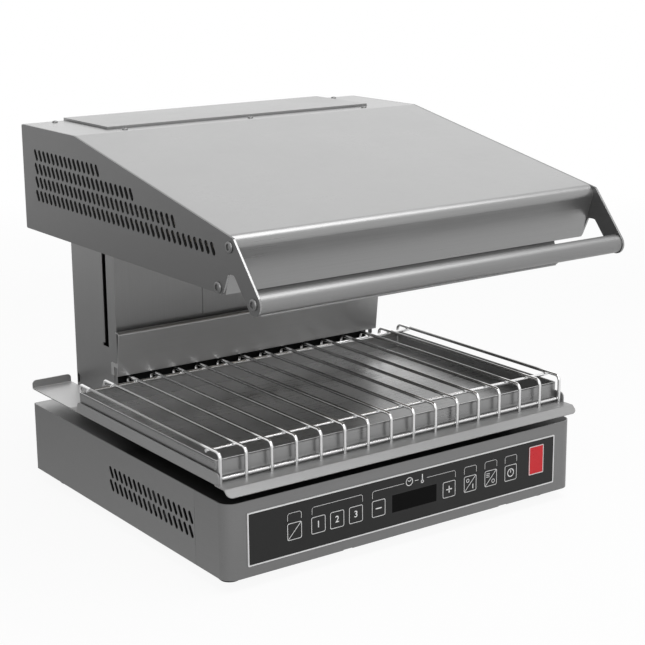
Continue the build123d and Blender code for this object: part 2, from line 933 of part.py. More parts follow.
def push_bushes():
    """Flanged bushes in the column's front panel."""
    face = column_front - bush_flange
    end = column_front + bush_length
    bush = rod(bush_radius, (push_pin_x, column_front, push_pin_z), (push_pin_x, end, push_pin_z))
    bush += rod(bush_flange_radius, (push_pin_x, face, push_pin_z), (push_pin_x, column_front, push_pin_z))
    bush -= rod(push_pin_radius + shaft_gap, (push_pin_x, face - overrun, push_pin_z),
                (push_pin_x, end + overrun, push_pin_z))
    return group(both_sides(bush))


def push_clips():
    """Rings on the pins that stop the push panel from coming out."""
    start = column_front + bush_length + slide_gap
    ring = tube(clip_radius, push_pin_radius + seat_gap, (push_pin_x, start, push_pin_z),
                (push_pin_x, start + clip_thickness, push_pin_z))
    return group(both_sides(ring))


def push_sensor():
    """Bracketed sensor behind the right pin's end."""
    front = column_front + sheet
    back = push_pin_end + push_travel + sensor_gap
    half = sensor_width / 2
    across = (push_pin_x - half, push_pin_x + half)
    low = push_pin_z - sensor_half_height
    high = push_pin_z + sensor_half_height
    bracket = block(across, (back, back + sensor_wall), (low, high))
    bracket += block(across, (front, back + sensor_wall), (low, low + sensor_wall))
    return bracket + block(across, (front, back + sensor_wall), (high - sensor_wall, high))


# Tray, pan and rack
def tray_rails():
    """Hat-shaped rails on the base's top plate that the tray slides on."""
    top = base_height + tray_rail_height
    path = [
        (tray_rail_x, base_height),
        (tray_rail_x, top),
        (tray_rail_x + tray_rail_width, top),
        (tray_rail_x + tray_rail_width, base_height),
    ]
    rear = column_front - tray_rail_rear_gap
    rail = prism_y(sheet_section(path, -sheet, tray_bend), tray_rail_front, rear)
    return group(both_sides(rail))


def tray_runners():
    """Angles under the tray that keep it on its rails."""
    low_face = tray_floor - sheet
    inner = tray_rail_x + tray_rail_width + slide_gap
    path = [(inner, low_face - runner_height), (inner, low_face), (inner + runner_flange, low_face)]
    rear = column_front - tray_rail_rear_gap
    runner = prism_y(sheet_section(path, -sheet, tray_bend), tray_rail_front, rear)
    return group(both_sides(runner))


def tray():
    """Bent tray with a front lip, low side walls and two tongues that pass the column."""
    rear = base_depth + tray_rear_overhang - sheet
    path = [
        (tray_setback - tray_lip_reach, tray_floor - tray_lip_drop),
        (tray_setback, tray_floor),
        (rear, tray_floor),
        (rear, tray_floor + tray_rear_flange),
    ]
    floor_sheet = prism_x(sheet_section(path, -sheet, tray_bend), -half_width, half_width)
    floor_sheet = fillet(lowest_corners(floor_sheet), tray_lip_corner)
    trim = block((tray_half, half_width + overrun), (tray_lip_depth, rear + sheet + overrun),
                 (tray_floor - sheet - overrun, tray_floor + tray_rear_flange + overrun))
    for side in both_sides(trim):
        floor_sheet -= side
    gap_half = column_half + tray_column_gap
    floor_sheet -= block(
        (-gap_half, gap_half),
        (column_front - slide_gap - sheet, rear + sheet + overrun),
        (tray_floor - sheet - overrun, tray_floor + tray_rear_flange + overrun),
    )
    flange_corners = floor_sheet.edges().filter_by(Axis.Y).group_by(Axis.Z)[-1]
    floor_sheet = fillet(flange_corners, tray_rear_flange / 2)
    wall_rear = column_front - slide_gap - sheet
    wall_top = tray_floor + tray_wall_height
    wall_points = [
        (tray_wall_front, tray_floor),
        (wall_rear, tray_floor),
        (wall_rear, wall_top),
        (tray_wall_front, wall_top),
    ]
    wall_face = outline(wall_points, [0, 0, tray_wall_corner, tray_wall_corner])
    wall = prism_x(wall_face, tray_half - sheet, tray_half)
    for side in both_sides(wall):
        floor_sheet += side
    return floor_sheet


def drip_pan():
    """Open pan that stands on the tray's floor."""
    half = half_width - pan_side_inset
    rear = column_front - pan_rear_gap
    middle = (pan_front + rear) / 2
    depth = rear - pan_front
    outer = Pos(0, middle) * RectangleRounded(2 * half, depth, pan_corner)
    inner_width = 2 * (half - pan_wall)
    inner = Pos(0, middle) * RectangleRounded(inner_width, depth - 2 * pan_wall, pan_corner - pan_wall)
    return prism_z(outer, tray_floor, pan_top) - prism_z(inner, tray_floor + pan_wall, pan_top + overrun)


def rack():
    """Welded wire rack: each long wire has a leg in front and a hook on the pan's rear rim."""
    left = -rack_span / 2
    path = FilletPolyline(
        (left, rack_leg, tray_floor),
        (left, rack_leg, rack_wire_z),
        (left, rack_rear, rack_wire_z),
        (left, rack_rear, pan_top),
        radius=rack_bend,
    )
    wire = sweep(Plane(origin=path @ 0, z_dir=path % 0) * Circle(rack_wire), path=path)
    pitch = rack_span / (rack_wires - 1)
    wires = [Pos(index * pitch, 0, 0) * wire for index in range(rack_wires)]
    weld = 2 * rack_wire - rack_weld
    cross_half = rack_span / 2 + rack_cross_reach
    cross_z = rack_wire_z - weld
    for y in (rack_cross_front, column_front - rack_cross_rear_gap):
        wires.append(rod(rack_wire, (-cross_half, y, cross_z), (cross_half, y, cross_z)))
    low_half = rack_span / 2 + rack_low_reach
    low_y = rack_leg + weld
    low_z = tray_floor + rack_low_cross
    wires.append(rod(rack_wire, (-low_half, low_y, low_z), (low_half, low_y, low_z)))
    return wires[0].fuse(*wires[1:])


# Hood
def arm_points():
    """Outer and inner ends of the handle arm's edges, and the two top corners of the notch behind it."""
    down_y = handle[0] - knee[0]
    down_z = handle[1] - knee[1]
    reach = hypot(down_y, down_z)
    heading = atan2(down_z, down_y) - asin(handle_arm_radius / reach)
    across_y = sin(heading) * handle_arm_radius
    across_z = -cos(heading) * handle_arm_radius
    outer = (handle[0] + across_y, handle[1] + across_z)
    inner = (handle[0] - across_y, handle[1] - across_z)
    notch_top = hood_bottom + notch_height
    run = (notch_top - inner[1]) / sin(heading)
    notch_front = inner[0] + run * cos(heading)
    return outer, inner, (notch_front, notch_top), (-notch_top_overhang, notch_top)


def slope_y(height):
    """Front-to-back place of the hood's slope at a height."""
    share = (height - knee[1]) / (top_knee[1] - knee[1])
    return knee[0] + share * (top_knee[0] - knee[0])


def side_bolt_places():
    """Places (y, z) of the two bolts in each side plate."""
    upper = (knee[0] + upper_bolt_inset, knee[1] - upper_bolt_drop)
    lower = (-front_foot_overhang + lower_bolt_inset, hood_bottom + lower_bolt_rise)
    return upper, lower


def hood_side():
    """Right side plate with vents, the handle arm and holes for its fasteners."""
    outer, inner, notch_front, notch_rear = arm_points()
    points = [
        (hood_rear, hood_bottom),
        (hood_rear, hood_top),
        top_knee,
        knee,
        outer,
        inner,
        notch_front,
        notch_rear,
        (-notch_overhang, hood_bottom),
    ]
    radii = [hood_corner, hood_corner, top_knee_radius, plate_knee_radius]
    radii += [0, 0, notch_radius, notch_radius, notch_foot_radius]
    face = outline(points, radii) + Pos(*handle) * Circle(handle_arm_radius)
    plate = prism_x(face, hood_inner_half, half_width)
    tops = []
    for row in range(hood_vent_rows):
        height = hood_top - hood_vent_drop - row * hood_vent_row
        rear = hood_rear - hood_vent_rear
        count = 1 + floor((rear - slope_y(height) - hood_vent_margin) / hood_vent_pitch)
        tops += [(rear - column * hood_vent_pitch, height) for column in range(count)]
    plate -= vent_cutter(tops, hood_vent_lean, hood_vent_rise, hood_vent_slot)
    holes = [(place, side_bolt_radius) for place in side_bolt_places()] + [(handle, bolt_radius)]
    for (y, z), radius in holes:
        plate -= rod(radius + seat_gap, (hood_inner_half - overrun, y, z), (half_width + overrun, y, z))
    return plate


def top_screw_places():
    """Places (x, y) of the screws in the hood's top."""
    front = top_knee[0] + top_screw_front
    rear = hood_rear - top_screw_rear
    front_x = half_width - top_screw_front_inset
    rear_x = half_width - top_screw_rear_inset
    return [(x, front) for x in (-front_x, 0, front_x)] + [(x, rear) for x in (-rear_x, rear_x)]


def hood_skin():
    """Front, slope and top in one bent sheet, cut out round the column."""
    path = [(-front_foot_overhang, hood_bottom), knee, top_knee, (hood_rear, hood_top)]
    skin = prism_x(sheet_section(path, -sheet, knee_radius - sheet), -hood_inner_half, hood_inner_half)
    skin -= block((-well_half, well_half), (well_front, hood_rear + overrun),
                  (hood_top - sheet - overrun, hood_top + overrun))
    for x, y in top_screw_places():
        skin -= rod(screw_radius + seat_gap, (x, y, hood_top - sheet - overrun), (x, y, hood_top + overrun))
    return skin


def hood_underside():
    """Bottom frame of the hood, with the heating window and a cut-out round the column."""
    high = hood_floor
    plate = block((-hood_inner_half, hood_inner_half), (0, hood_rear - sheet), (hood_bottom, high))
    through = (hood_bottom - overrun, high + overrun)
    plate -= block((-well_half, well_half), (well_front, hood_rear + overrun), through)
    return plate - block((-window_half, window_half), (window_front, window_rear), through)


def hood_rear_panels():
    """Rear closing panels on both sides of the column."""
    depth = (hood_rear - sheet, hood_rear)
    panel = block((well_half, hood_inner_half), depth, (hood_bottom, hood_top - sheet))
    return group(both_sides(panel))


def handle_shield():
    """Bent strip below the hood's front edge that keeps heat off the handle."""
    path = [
        (shield_front + shield_flange, hood_bottom),
        (shield_front, hood_bottom),
        (shield_front - shield_lean, hood_bottom - shield_drop),
    ]
    half = half_width - shield_side_gap
    strip = prism_x(sheet_section(path, sheet, sheet), -half, half)
    return fillet(lowest_corners(strip), shield_corner)


def handle_tube():
    """Handle bar: a tube with tapped plugs welded into both ends."""
    y, z = handle
    bar = rod(handle_radius, (-hood_inner_half, y, z), (hood_inner_half, y, z))
    hollow = hood_inner_half - handle_plug
    bar -= rod(handle_radius - handle_wall, (-hollow, y, z), (hollow, y, z))
    for side in (-1, 1):
        end = side * (hood_inner_half + overrun)
        bar -= rod(bolt_radius + seat_gap, (side * (hollow - overrun), y, z), (end, y, z))
    return bar


def socket_bolt(place, shank, length):
    """Round-headed socket bolt that enters the right side of the hood at a place (y, z)."""
    y, z = place
    face = half_width + bolt_head_height
    head = rod(bolt_head_radius, (half_width, y, z), (face, y, z))
    rim = head.edges().filter_by(GeomType.CIRCLE).sort_by(Axis.X)[-1]
    head = fillet(rim, bolt_head_height * button_round_share)
    head -= hex_bar(bolt_socket, (face - bolt_socket_depth, y, z), (face + overrun, y, z))
    return head + rod(shank, (half_width - length, y, z), (half_width, y, z))


def handle_bolts():
    """Bolts through the side plates into the handle."""
    return group(both_sides(socket_bolt(handle, bolt_radius, bolt_length)))


def side_bolts():
    """Bolts near the front edge of both side plates."""
    bolts = []
    for place in side_bolt_places():
        bolts += both_sides(socket_bolt(place, side_bolt_radius, side_plate))
    return group(bolts)


def hood_top_screws():
    """Screws in the hood's top."""
    screws = []
    for x, y in top_screw_places():
        head = rod(screw_head_radius, (x, y, hood_top), (x, y, hood_top + screw_head_height))
        rim = head.edges().filter_by(GeomType.CIRCLE).sort_by(Axis.Z)[-1]
        head = fillet(rim, screw_head_height * button_round_share)
        screws.append(head + rod(screw_radius, (x, y, hood_top - screw_length), (x, y, hood_top)))
    return group(screws)


# Heating
def reflector():
    """Upturned tray over the radiant tubes."""
    inner = reflector_sheet
    depth = (reflector_front, reflector_rear)
    box = block((-reflector_half, reflector_half), depth, (hood_floor, reflector_top))
    hollow = block(
        (-reflector_half + inner, reflector_half - inner),
        (reflector_front + inner, reflector_rear - inner),
        (hood_floor - overrun, reflector_top - inner),
    )
    return box - hollow


def element_places():
    """Front-to-back places of the radiant tubes."""
    pitch = (window_rear - window_front) / element_count
    return [window_front + pitch * (index + 1 / 2) for index in range(element_count)]


def element_tubes():
    """Radiant tubes across the hood."""
    reach = reflector_half - reflector_sheet - element_cap_length + element_socket - seat_gap
    tubes = [rod(element_radius, (-reach, y, element_z), (reach, y, element_z)) for y in element_places()]
    return group(tubes)


def element_caps():
    """Ceramic ends that hold the tubes on the reflector's end walls."""
    outer = reflector_half - reflector_sheet
    inner = outer - element_cap_length
    half = element_cap_size / 2
    caps = []
    for y in element_places():
        cap = block((inner, outer), (y - half, y + half), (element_z - half, element_z + half))
        socket_end = inner + element_socket
        cap -= rod(element_radius + seat_gap, (inner - overrun, y, element_z), (socket_end, y, element_z))
        caps += both_sides(cap)
    return group(caps)


def insulation():
    """Blanket on top of the reflector."""
    half = reflector_half - insulation_inset
    depth = (reflector_front + insulation_inset, reflector_rear - insulation_inset)
    return block((-half, half), depth, (reflector_top, reflector_top + insulation_thickness))


def thermal_cutout():
    """Safety thermostat on the hood's bottom frame, beside the column."""
    x = -hood_inner_half + cutout_side_gap
    y = hood_rear - cutout_rear_gap
    body = rod(cutout_radius, (x, y, hood_floor), (x, y, hood_floor + cutout_height))
    return body + rod(cutout_flange, (x, y, hood_floor), (x, y, hood_floor + cutout_flange_height))


# Every piece under its name
right_side = hood_side()
roller_low, roller_high = roller_heights()
pieces = {
    "fascia": fascia(),
    "base_shell": base_shell(),
    "base_top": base_top(),
    "base_bottom": base_bottom(),
    "feet": feet(),
    "control_bezel": control_bezel(),
    "control_glass": control_glass(),
    "badge_plate": badge_plate(),
    "control_board": control_board(),
    "board_standoffs": board_standoffs(),
    "display_module": display_module(),
    "power_board": power_board(),
    "transformer": transformer(),
    "mains_terminal": mains_terminal(),
    "fan_frame": fan_frame(),
    "fan_rotor": fan_rotor(),
    "cable_gland": cable_gland(),
    "gland_nut": gland_nut(),
    "column_front": column_front_panel(),
    "column_cover": column_cover(),
    "column_sides": column_sides(),
    "column_rear": column_rear_panel(),
    "column_cap": column_cap(),
    "guide_rails": guide_rails(),
    "roller_lower_left": guide_roller(-1, roller_low),
    "roller_lower_right": guide_roller(1, roller_low),
    "roller_upper_left": guide_roller(-1, roller_high),
    "roller_upper_right": guide_roller(1, roller_high),
    "roller_pins": roller_pins(),
    "stop_buffers": stop_buffers(),
    "carriage_arms": carriage_arms(),
    "carriage_bar": carriage_bar(),
    "gas_spring_cylinders": gas_spring_cylinders(),
    "gas_spring_rods": gas_spring_rods(),
    "rod_nuts": rod_nuts(),
    "push_panel": push_panel(),
    "push_pins": push_pins(),
    "push_bushes": push_bushes(),
    "push_clips": push_clips(),
    "push_sensor": push_sensor(),
    "tray_rails": tray_rails(),
    "tray_runners": tray_runners(),
    "tray": tray(),
    "drip_pan": drip_pan(),
    "rack": rack(),
    "hood_side_left": mirror(right_side, about=Plane.YZ),
    "hood_side_right": right_side,
    "hood_skin": hood_skin(),
    "hood_underside": hood_underside(),
    "hood_rear_panels": hood_rear_panels(),
    "handle_shield": handle_shield(),
    "handle_tube": handle_tube(),
    "handle_bolts": handle_bolts(),
    "side_bolts": side_bolts(),
    "hood_top_screws": hood_top_screws(),
    "reflector": reflector(),
    "element_tubes": element_tubes(),
    "element_caps": element_caps(),
    "insulation": insulation(),
    "thermal_cutout": thermal_cutout(),
}
os.makedirs("parts", exist_ok=True)
for name, shape in pieces.items():
    export_step(placing * shape, f"parts/{name}.step")
print(len(pieces), "pieces, origin at y", round(origin_y, 3))
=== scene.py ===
"""Salamander grill with a rise-and-fall hood: finishes and fine pieces over the CAD frame."""
import logging
import math
from dataclasses import dataclass
from enum import Enum
from typing import Any, Callable, Iterable, Sequence

import bpy
from mathutils import Matrix, Vector


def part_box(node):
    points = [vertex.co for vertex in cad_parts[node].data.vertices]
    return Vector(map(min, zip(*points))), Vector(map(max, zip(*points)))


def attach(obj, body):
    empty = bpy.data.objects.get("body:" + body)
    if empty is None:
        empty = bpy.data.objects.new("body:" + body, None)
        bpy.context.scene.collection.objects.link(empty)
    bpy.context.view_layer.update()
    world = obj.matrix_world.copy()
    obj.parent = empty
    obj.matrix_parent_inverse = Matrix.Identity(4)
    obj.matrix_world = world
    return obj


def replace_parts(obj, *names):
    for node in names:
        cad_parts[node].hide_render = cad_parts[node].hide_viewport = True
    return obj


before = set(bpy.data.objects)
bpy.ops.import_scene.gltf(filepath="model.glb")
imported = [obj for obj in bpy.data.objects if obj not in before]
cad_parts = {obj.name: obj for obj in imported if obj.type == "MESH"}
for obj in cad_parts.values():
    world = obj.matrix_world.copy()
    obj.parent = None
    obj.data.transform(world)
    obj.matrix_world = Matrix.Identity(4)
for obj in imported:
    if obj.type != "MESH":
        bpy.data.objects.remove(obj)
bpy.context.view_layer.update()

log = logging.getLogger("salamander_grill")
MM = 0.001
Point = tuple[float, float, float]
Colour = tuple[float, float, float]
Piece = bpy.types.Object
Material = bpy.types.Material
Socket = bpy.types.NodeSocket

WHITE = (1.0, 1.0, 1.0)
# Turns a piece that lies flat so that it faces the front.
UPRIGHT = Matrix.Rotation(math.radians(90.0), 4, "X")
# Usual line of the panel's prints, in millimetres.
PRINT_LINE = 0.8
NOISE_MEAN = 0.5
FINE_DETAIL = 3.0
EDGE_SAMPLES = 4
EDGE_SEGMENTS = 3
HEXAGON = 6
# Limits of a surface's direction along an axis, past which it counts as facing that way.
FACING_UP = 0.5
FACING_FRONT = -0.6
FACING_SIDEWAYS = 0.5
FACING_END_ON = 0.7


def grey(level: float) -> Colour:
    """A neutral colour."""
    return (level, level, level)


def shade(colour: Colour, share: float) -> Colour:
    """A colour with each channel times a share."""
    red, green, blue = colour
    return (red * share, green * share, blue * share)


class Value:
    """A number socket of a material's node tree, with arithmetic that adds Math nodes."""

    def __init__(self, net: "Net", socket: Socket) -> None:
        """Keep the tree and the socket."""
        self.net = net
        self.socket = socket

    def _math(self, operation: str, first: Any, second: Any = None, clamp: bool = False) -> "Value":
        """Add a Math node.

        Args:
            operation: The Math node's operation.
            first: First operand.
            second: Second operand, if the operation takes one.
            clamp: Whether the result is held between 0 and 1.

        Returns:
            The node's result.
        """
        operands = {0: first} if second is None else {0: first, 1: second}
        settings = {"operation": operation, "use_clamp": clamp}
        return self.net.value(self.net.node("ShaderNodeMath", settings, operands))

    def __add__(self, other: Any) -> "Value":
        """Sum."""
        return self._math("ADD", self, other)

    __radd__ = __add__

    def __sub__(self, other: Any) -> "Value":
        """Difference."""
        return self._math("SUBTRACT", self, other)

    def __rsub__(self, other: Any) -> "Value":
        """Difference from a number."""
        return self._math("SUBTRACT", other, self)

    def __mul__(self, other: Any) -> "Value":
        """Product."""
        return self._math("MULTIPLY", self, other)

    __rmul__ = __mul__

    def __truediv__(self, other: Any) -> "Value":
        """Quotient."""
        return self._math("DIVIDE", self, other)

    def __rtruediv__(self, other: Any) -> "Value":
        """Quotient of a number by this value."""
        return self._math("DIVIDE", other, self)

    def __gt__(self, other: Any) -> "Value":
        """1 where this value is the larger, else 0."""
        return self._math("GREATER_THAN", self, other)

    def __lt__(self, other: Any) -> "Value":
        """1 where this value is the smaller, else 0."""
        return self._math("LESS_THAN", self, other)

    def __abs__(self) -> "Value":
        """Size without sign."""
        return self._math("ABSOLUTE", self)

    def wave(self) -> "Value":
        """Sine."""
        return self._math("SINE", self)

    def held(self) -> "Value":
        """The value held between 0 and 1."""
        return self._math("ADD", self, 0.0, clamp=True)

    def swing(self, size: float) -> "Value":
        """How far a noise is from its mean, times a size."""
        return (self - NOISE_MEAN) * size


class Net:
    """Node tree of a material or of the world, built from one method and from arithmetic on values."""

    def __init__(self, owner: Any) -> None:
        """Start with an empty tree.

        Args:
            owner: The material or world, or the name of a new material.
        """
        self.owner = bpy.data.materials.new(owner) if isinstance(owner, str) else owner
        self.owner.use_nodes = True
        self.tree = self.owner.node_tree
        self.tree.nodes.clear()

    def node(self, kind: str, settings: dict[str, Any], inputs: dict[Any, Any]) -> bpy.types.Node:
        """Add a node.

        Args:
            kind: The node's type.
            settings: Properties set before the sockets; "stops" are a ramp's stops.
            inputs: Numbers, colours, values or sockets, by socket name or index.

        Returns:
            The new node.
        """
        made = self.tree.nodes.new(kind)
        for key, setting in settings.items():
            if key == "stops":
                self._stops(made.color_ramp, setting)
            else:
                setattr(made, key, setting)
        for key, given in inputs.items():
            socket = made.inputs[key]
            source = given.socket if isinstance(given, Value) else given
            if isinstance(source, Socket):
                self.tree.links.new(source, socket)
            else:
                socket.default_value = source
        return made

    @staticmethod
    def _stops(ramp: bpy.types.ColorRamp, stops: Sequence[tuple[float, Colour]]) -> None:
        """Set a ramp's stops.

        Args:
            ramp: The ramp.
            stops: Places from 0 to 1 with their colours, in order.
        """
        while len(ramp.elements) < len(stops):
            ramp.elements.new(1.0)
        for element, (place, colour) in zip(ramp.elements, stops):
            element.position = place
            element.color = (*colour, 1.0)

    def value(self, node: bpy.types.Node, output: Any = 0) -> Value:
        """A node's output, by its name or index, as a number."""
        return Value(self, node.outputs[output])

    def place(self) -> Socket:
        """The point of the surface, in the frame that all pieces share."""
        return self.node("ShaderNodeTexCoord", {}, {}).outputs["Object"]

    def split(self, vector: Socket) -> tuple[Value, Value, Value]:
        """A vector's parts along the three axes."""
        parts = self.node("ShaderNodeSeparateXYZ", {}, {0: vector})
        return self.value(parts, 0), self.value(parts, 1), self.value(parts, 2)

    def facing(self) -> tuple[Value, Value, Value]:
        """Parts of the surface's direction along the three axes."""
        return self.split(self.node("ShaderNodeTexCoord", {}, {}).outputs["Normal"])

    def ray(self, kind: str) -> Value:
        """1 for rays of one kind, else 0."""
        return self.value(self.node("ShaderNodeLightPath", {}, {}), f"Is {kind} Ray")

    def background_seen(self) -> Value:
        """1 for the rays that show the background: from the camera, off metal and through glass."""
        return (self.ray("Camera") + self.ray("Glossy") + self.ray("Transmission")).held()

    def noise(self, cells: float | Point, detail: float = 2.0, rough: float = 0.55) -> Value:
        """Noise with one scale, or with its own scale along each axis.

        Args:
            cells: Cells in a metre, one number or those along x, y and z.
            detail: Octaves.
            rough: How much each finer octave counts.

        Returns:
            Noise from 0 to 1.
        """
        scale = cells if isinstance(cells, tuple) else (cells, cells, cells)
        mapped = self.node("ShaderNodeMapping", {}, {"Vector": self.place(), "Scale": scale})
        sockets = {"Vector": mapped.outputs[0], "Scale": 1.0, "Detail": detail, "Roughness": rough}
        return self.value(self.node("ShaderNodeTexNoise", {}, sockets), "Fac")

    def blend(self, share: Value, low: Any, high: Any) -> Socket:
        """Mix two colours.

        Args:
            share: How much of the second colour shows.
            low: First colour.
            high: Second colour.

        Returns:
            The mixed colour's socket.
        """
        first, second = [(*c, 1.0) if isinstance(c, tuple) else c for c in (low, high)]
        # The node's colours are inputs 6 and 7 and output 2.
        mixed = self.node("ShaderNodeMix", {"data_type": "RGBA"}, {0: share, 6: first, 7: second})
        return mixed.outputs[2]

    def relief(self, height: Value, strength: float, edge: float = 0.0) -> Socket:
        """Bump from a height, with the edges of the shape slightly rounded.

        Args:
            height: Height from 0 to 1.
            strength: Strength of the bump.
            edge: Radius of the softened edges in metres, or 0 for none.

        Returns:
            The bumped normal.
        """
        inputs = {"Strength": strength, "Distance": MM, "Height": height}
        if edge > 0:
            soft = self.node("ShaderNodeBevel", {"samples": EDGE_SAMPLES}, {"Radius": edge})
            inputs["Normal"] = soft.outputs[0]
        return self.node("ShaderNodeBump", {}, inputs).outputs[0]

    def surface(self, **sockets: Any) -> Material:
        """Finish the material with the main shader.

        Args:
            sockets: Values and links of the shader's sockets, with _ for a space.

        Returns:
            The material.
        """
        named = {key.replace("_", " "): given for key, given in sockets.items()}
        for key, given in named.items():
            if isinstance(given, tuple) and len(given) == 3:
                named[key] = (*given, 1.0)
        shader = self.node("ShaderNodeBsdfPrincipled", {}, named)
        self.node("ShaderNodeOutputMaterial", {}, {"Surface": shader.outputs[0]})
        return self.owner


class Axis(Enum):
    """Axis of the part, by its place in a vector."""

    X = 0
    Y = 1
    Z = 2


@dataclass(frozen=True)
class VentArea:
    """Part of a side sheet that holds its vent slots, seen from the side."""

    front: float
    rear: float
    foot: float
    head: float
    lean: float = 0.0
    nose: float = -1.0


@dataclass(frozen=True)
class PaintedLight:
    """Painted light and shade: a grey tone that comes in along one axis of the part."""

    axis: Axis
    start: float
    full: float
    tone: float
    dull: float = 0.0
    end: float = 1.0
    upward: bool = False

    def lay(self, net: Net, colour: Any, rough: Value) -> tuple[Any, Value]:
        """Lay the tone over a surface: none before its start, all of it from full on, none past its end.

        Args:
            net: The material's tree.
            colour: Colour below the tone.
            rough: Roughness below the tone.

        Returns:
            Colour and roughness with the tone.
        """
        along = net.split(net.place())[self.axis.value]
        share = ((along - self.start) / (self.full - self.start)).held() * (along < self.end)
        if self.upward:
            share = share * (net.facing()[Axis.Z.value] > FACING_UP)
        return net.blend(share, colour, grey(self.tone)), rough + share * self.dull


@dataclass(frozen=True)
class Finish:
    """Finish of a surface, which builds its own material."""

    name: str

    def material(self) -> Material:
        """Build the material."""
        raise NotImplementedError


@dataclass(frozen=True)
class BrushedSteel(Finish):
    """Brushed stainless sheet: fine drawn lines, faint smudges and softened edges."""

    grain: Axis = Axis.X
    light: float = 0.28
    dark: float = 0.22
    metallic: float = 0.78
    roughness: float = 0.36
    edge: float = 0.5 * MM
    vents: VentArea | None = None
    edge_highlight: float | None = None
    painted_light: PaintedLight | None = None
    line: float = 1100.0
    drawn: float = 7.0
    smudge_cell: float = 9.0
    mottle_cell: float = 70.0
    line_share: float = 0.75
    line_rough: float = 0.16
    smudge_rough: float = 0.1
    mottle_rough: float = 0.04
    edge_highlight_gloss: float = 0.1
    painted_shade: float = 0.004
    painted_shade_dull: float = 0.5
    relief: float = 0.05

    def material(self) -> Material:
        """Build the steel, with a painted highlight on its front-facing edges, painted light and shade along
        an axis, and painted shade in its slots where it has them.

        Returns:
            The material.
        """
        net = Net(self.name)
        lines = self._lines(net)
        smudge = net.noise(self.smudge_cell)
        mottle = net.noise(self.mottle_cell)
        share = (lines * self.line_share + smudge * (1.0 - self.line_share)).held()
        colour = net.blend(share, grey(self.dark), grey(self.light))
        rough = self.roughness + lines.swing(self.line_rough) + smudge.swing(self.smudge_rough)
        rough = rough + mottle.swing(self.mottle_rough)
        metallic = self.metallic
        # Painted highlight: faces that face the front are made lighter and glossier.
        if self.edge_highlight:
            front_edge_highlight = net.facing()[Axis.Y.value] < FACING_FRONT
            colour = net.blend(front_edge_highlight, colour, grey(self.edge_highlight))
            rough = rough - front_edge_highlight * self.edge_highlight_gloss
        # Painted light and shade along one axis, where the finish has it.
        if self.painted_light:
            colour, rough = self.painted_light.lay(net, colour, rough)
        # Painted shade: the vent slots' walls are made near black, dull and not metallic.
        if self.vents:
            wall = self._slot_walls(net)
            colour = net.blend(wall, colour, grey(self.painted_shade))
            metallic = (1 - wall) * self.metallic
            rough = rough + wall * self.painted_shade_dull
        return net.surface(
            Base_Color=colour,
            Metallic=metallic,
            Roughness=rough.held(),
            Normal=net.relief(lines, self.relief, self.edge),
        )

    def _slot_walls(self, net: Net) -> Value:
        """Mask of the slots' walls, where shade is painted: the faces inside the vents' area that don't face
        sideways.

        Args:
            net: The material's tree.

        Returns:
            1 on the walls, else 0.
        """
        area = self.vents
        _, y, z = net.split(net.place())
        behind = (y - (z - area.head) * area.lean > area.front) * (y > area.nose) * (y < area.rear)
        inward = abs(net.facing()[Axis.X.value]) < FACING_SIDEWAYS
        return behind * (z > area.foot) * (z < area.head) * inward

    def _lines(self, net: Net) -> Value:
        """Brush lines, turned on the faces that the main direction runs into.

        Args:
            net: The material's tree.

        Returns:
            Line pattern from 0 to 1.
        """
        turned = Axis.Y if self.grain is Axis.X else Axis.X
        main, other = [
            net.noise(tuple(self.drawn if axis is run else self.line for axis in Axis))
            for run in (self.grain, turned)
        ]
        end_on = abs(net.facing()[self.grain.value]) > FACING_END_ON
        return main + end_on * (other - main)


@dataclass(frozen=True)
class Speckled(Finish):
    """Surface with a fine and a broad unevenness of its colour and roughness."""

    colour: Colour
    roughness: float = 0.3
    metallic: float = 1.0
    specular: float = 0.5
    painted_light: PaintedLight | None = None
    cell: float = 260.0
    fine_rough: float = 0.06
    broad_cell: float = 14.0
    broad_rough: float = 0.06
    broad_share: float = 0.6
    low_share: float = 0.82
    relief: float = 0.03
    edge: float = 0.3 * MM

    def material(self) -> Material:
        """Build the surface.

        Returns:
            The material.
        """
        net = Net(self.name)
        fine = net.noise(self.cell, FINE_DETAIL)
        broad = net.noise(self.broad_cell)
        rough = self.roughness + fine.swing(self.fine_rough) + broad.swing(self.broad_rough)
        share = (fine * (1.0 - self.broad_share) + broad * self.broad_share).held()
        colour = net.blend(share, shade(self.colour, self.low_share), self.colour)
        # Painted light and shade along one axis, where the finish has it.
        if self.painted_light:
            colour, rough = self.painted_light.lay(net, colour, rough)
        return net.surface(
            Base_Color=colour,
            Metallic=self.metallic,
            Roughness=rough.held(),
            Specular_IOR_Level=self.specular,
            Normal=net.relief(fine, self.relief, self.edge),
        )


@dataclass(frozen=True)
class PlainMetal(Speckled):
    """Metal without a drawn grain: chrome, zinc, brass or black paint."""


@dataclass(frozen=True)
class Moulded(Speckled):
    """Moulded plastic, rubber, ceramic or nylon with a fine matt texture."""

    roughness: float = 0.55
    metallic: float = 0.0
    specular: float = 0.4
    cell: float = 1500.0
    fine_rough: float = 0.15
    broad_cell: float = 25.0
    broad_rough: float = 0.1
    broad_share: float = 0.5
    low_share: float = 0.75
    relief: float = 0.12


@dataclass(frozen=True)
class TouchGlass(Finish):
    """Dark printed glass of the control panel and its display window."""

    colour: Colour
    roughness: float
    specular: float
    touch_cells: Point = (22.0, 22.0, 30.0)
    touch_rough: float = 0.12
    grain_cell: float = 900.0
    high_share: float = 1.12
    relief: float = 0.01

    def material(self) -> Material:
        """Build the glass.

        Returns:
            The material.
        """
        net = Net(self.name)
        touch = net.noise(self.touch_cells, FINE_DETAIL)
        grain = net.noise(self.grain_cell)
        return net.surface(
            Base_Color=net.blend(grain, self.colour, shade(self.colour, self.high_share)),
            Roughness=(self.roughness + touch.swing(self.touch_rough)).held(),
            Specular_IOR_Level=self.specular,
            Normal=net.relief(grain, self.relief),
        )


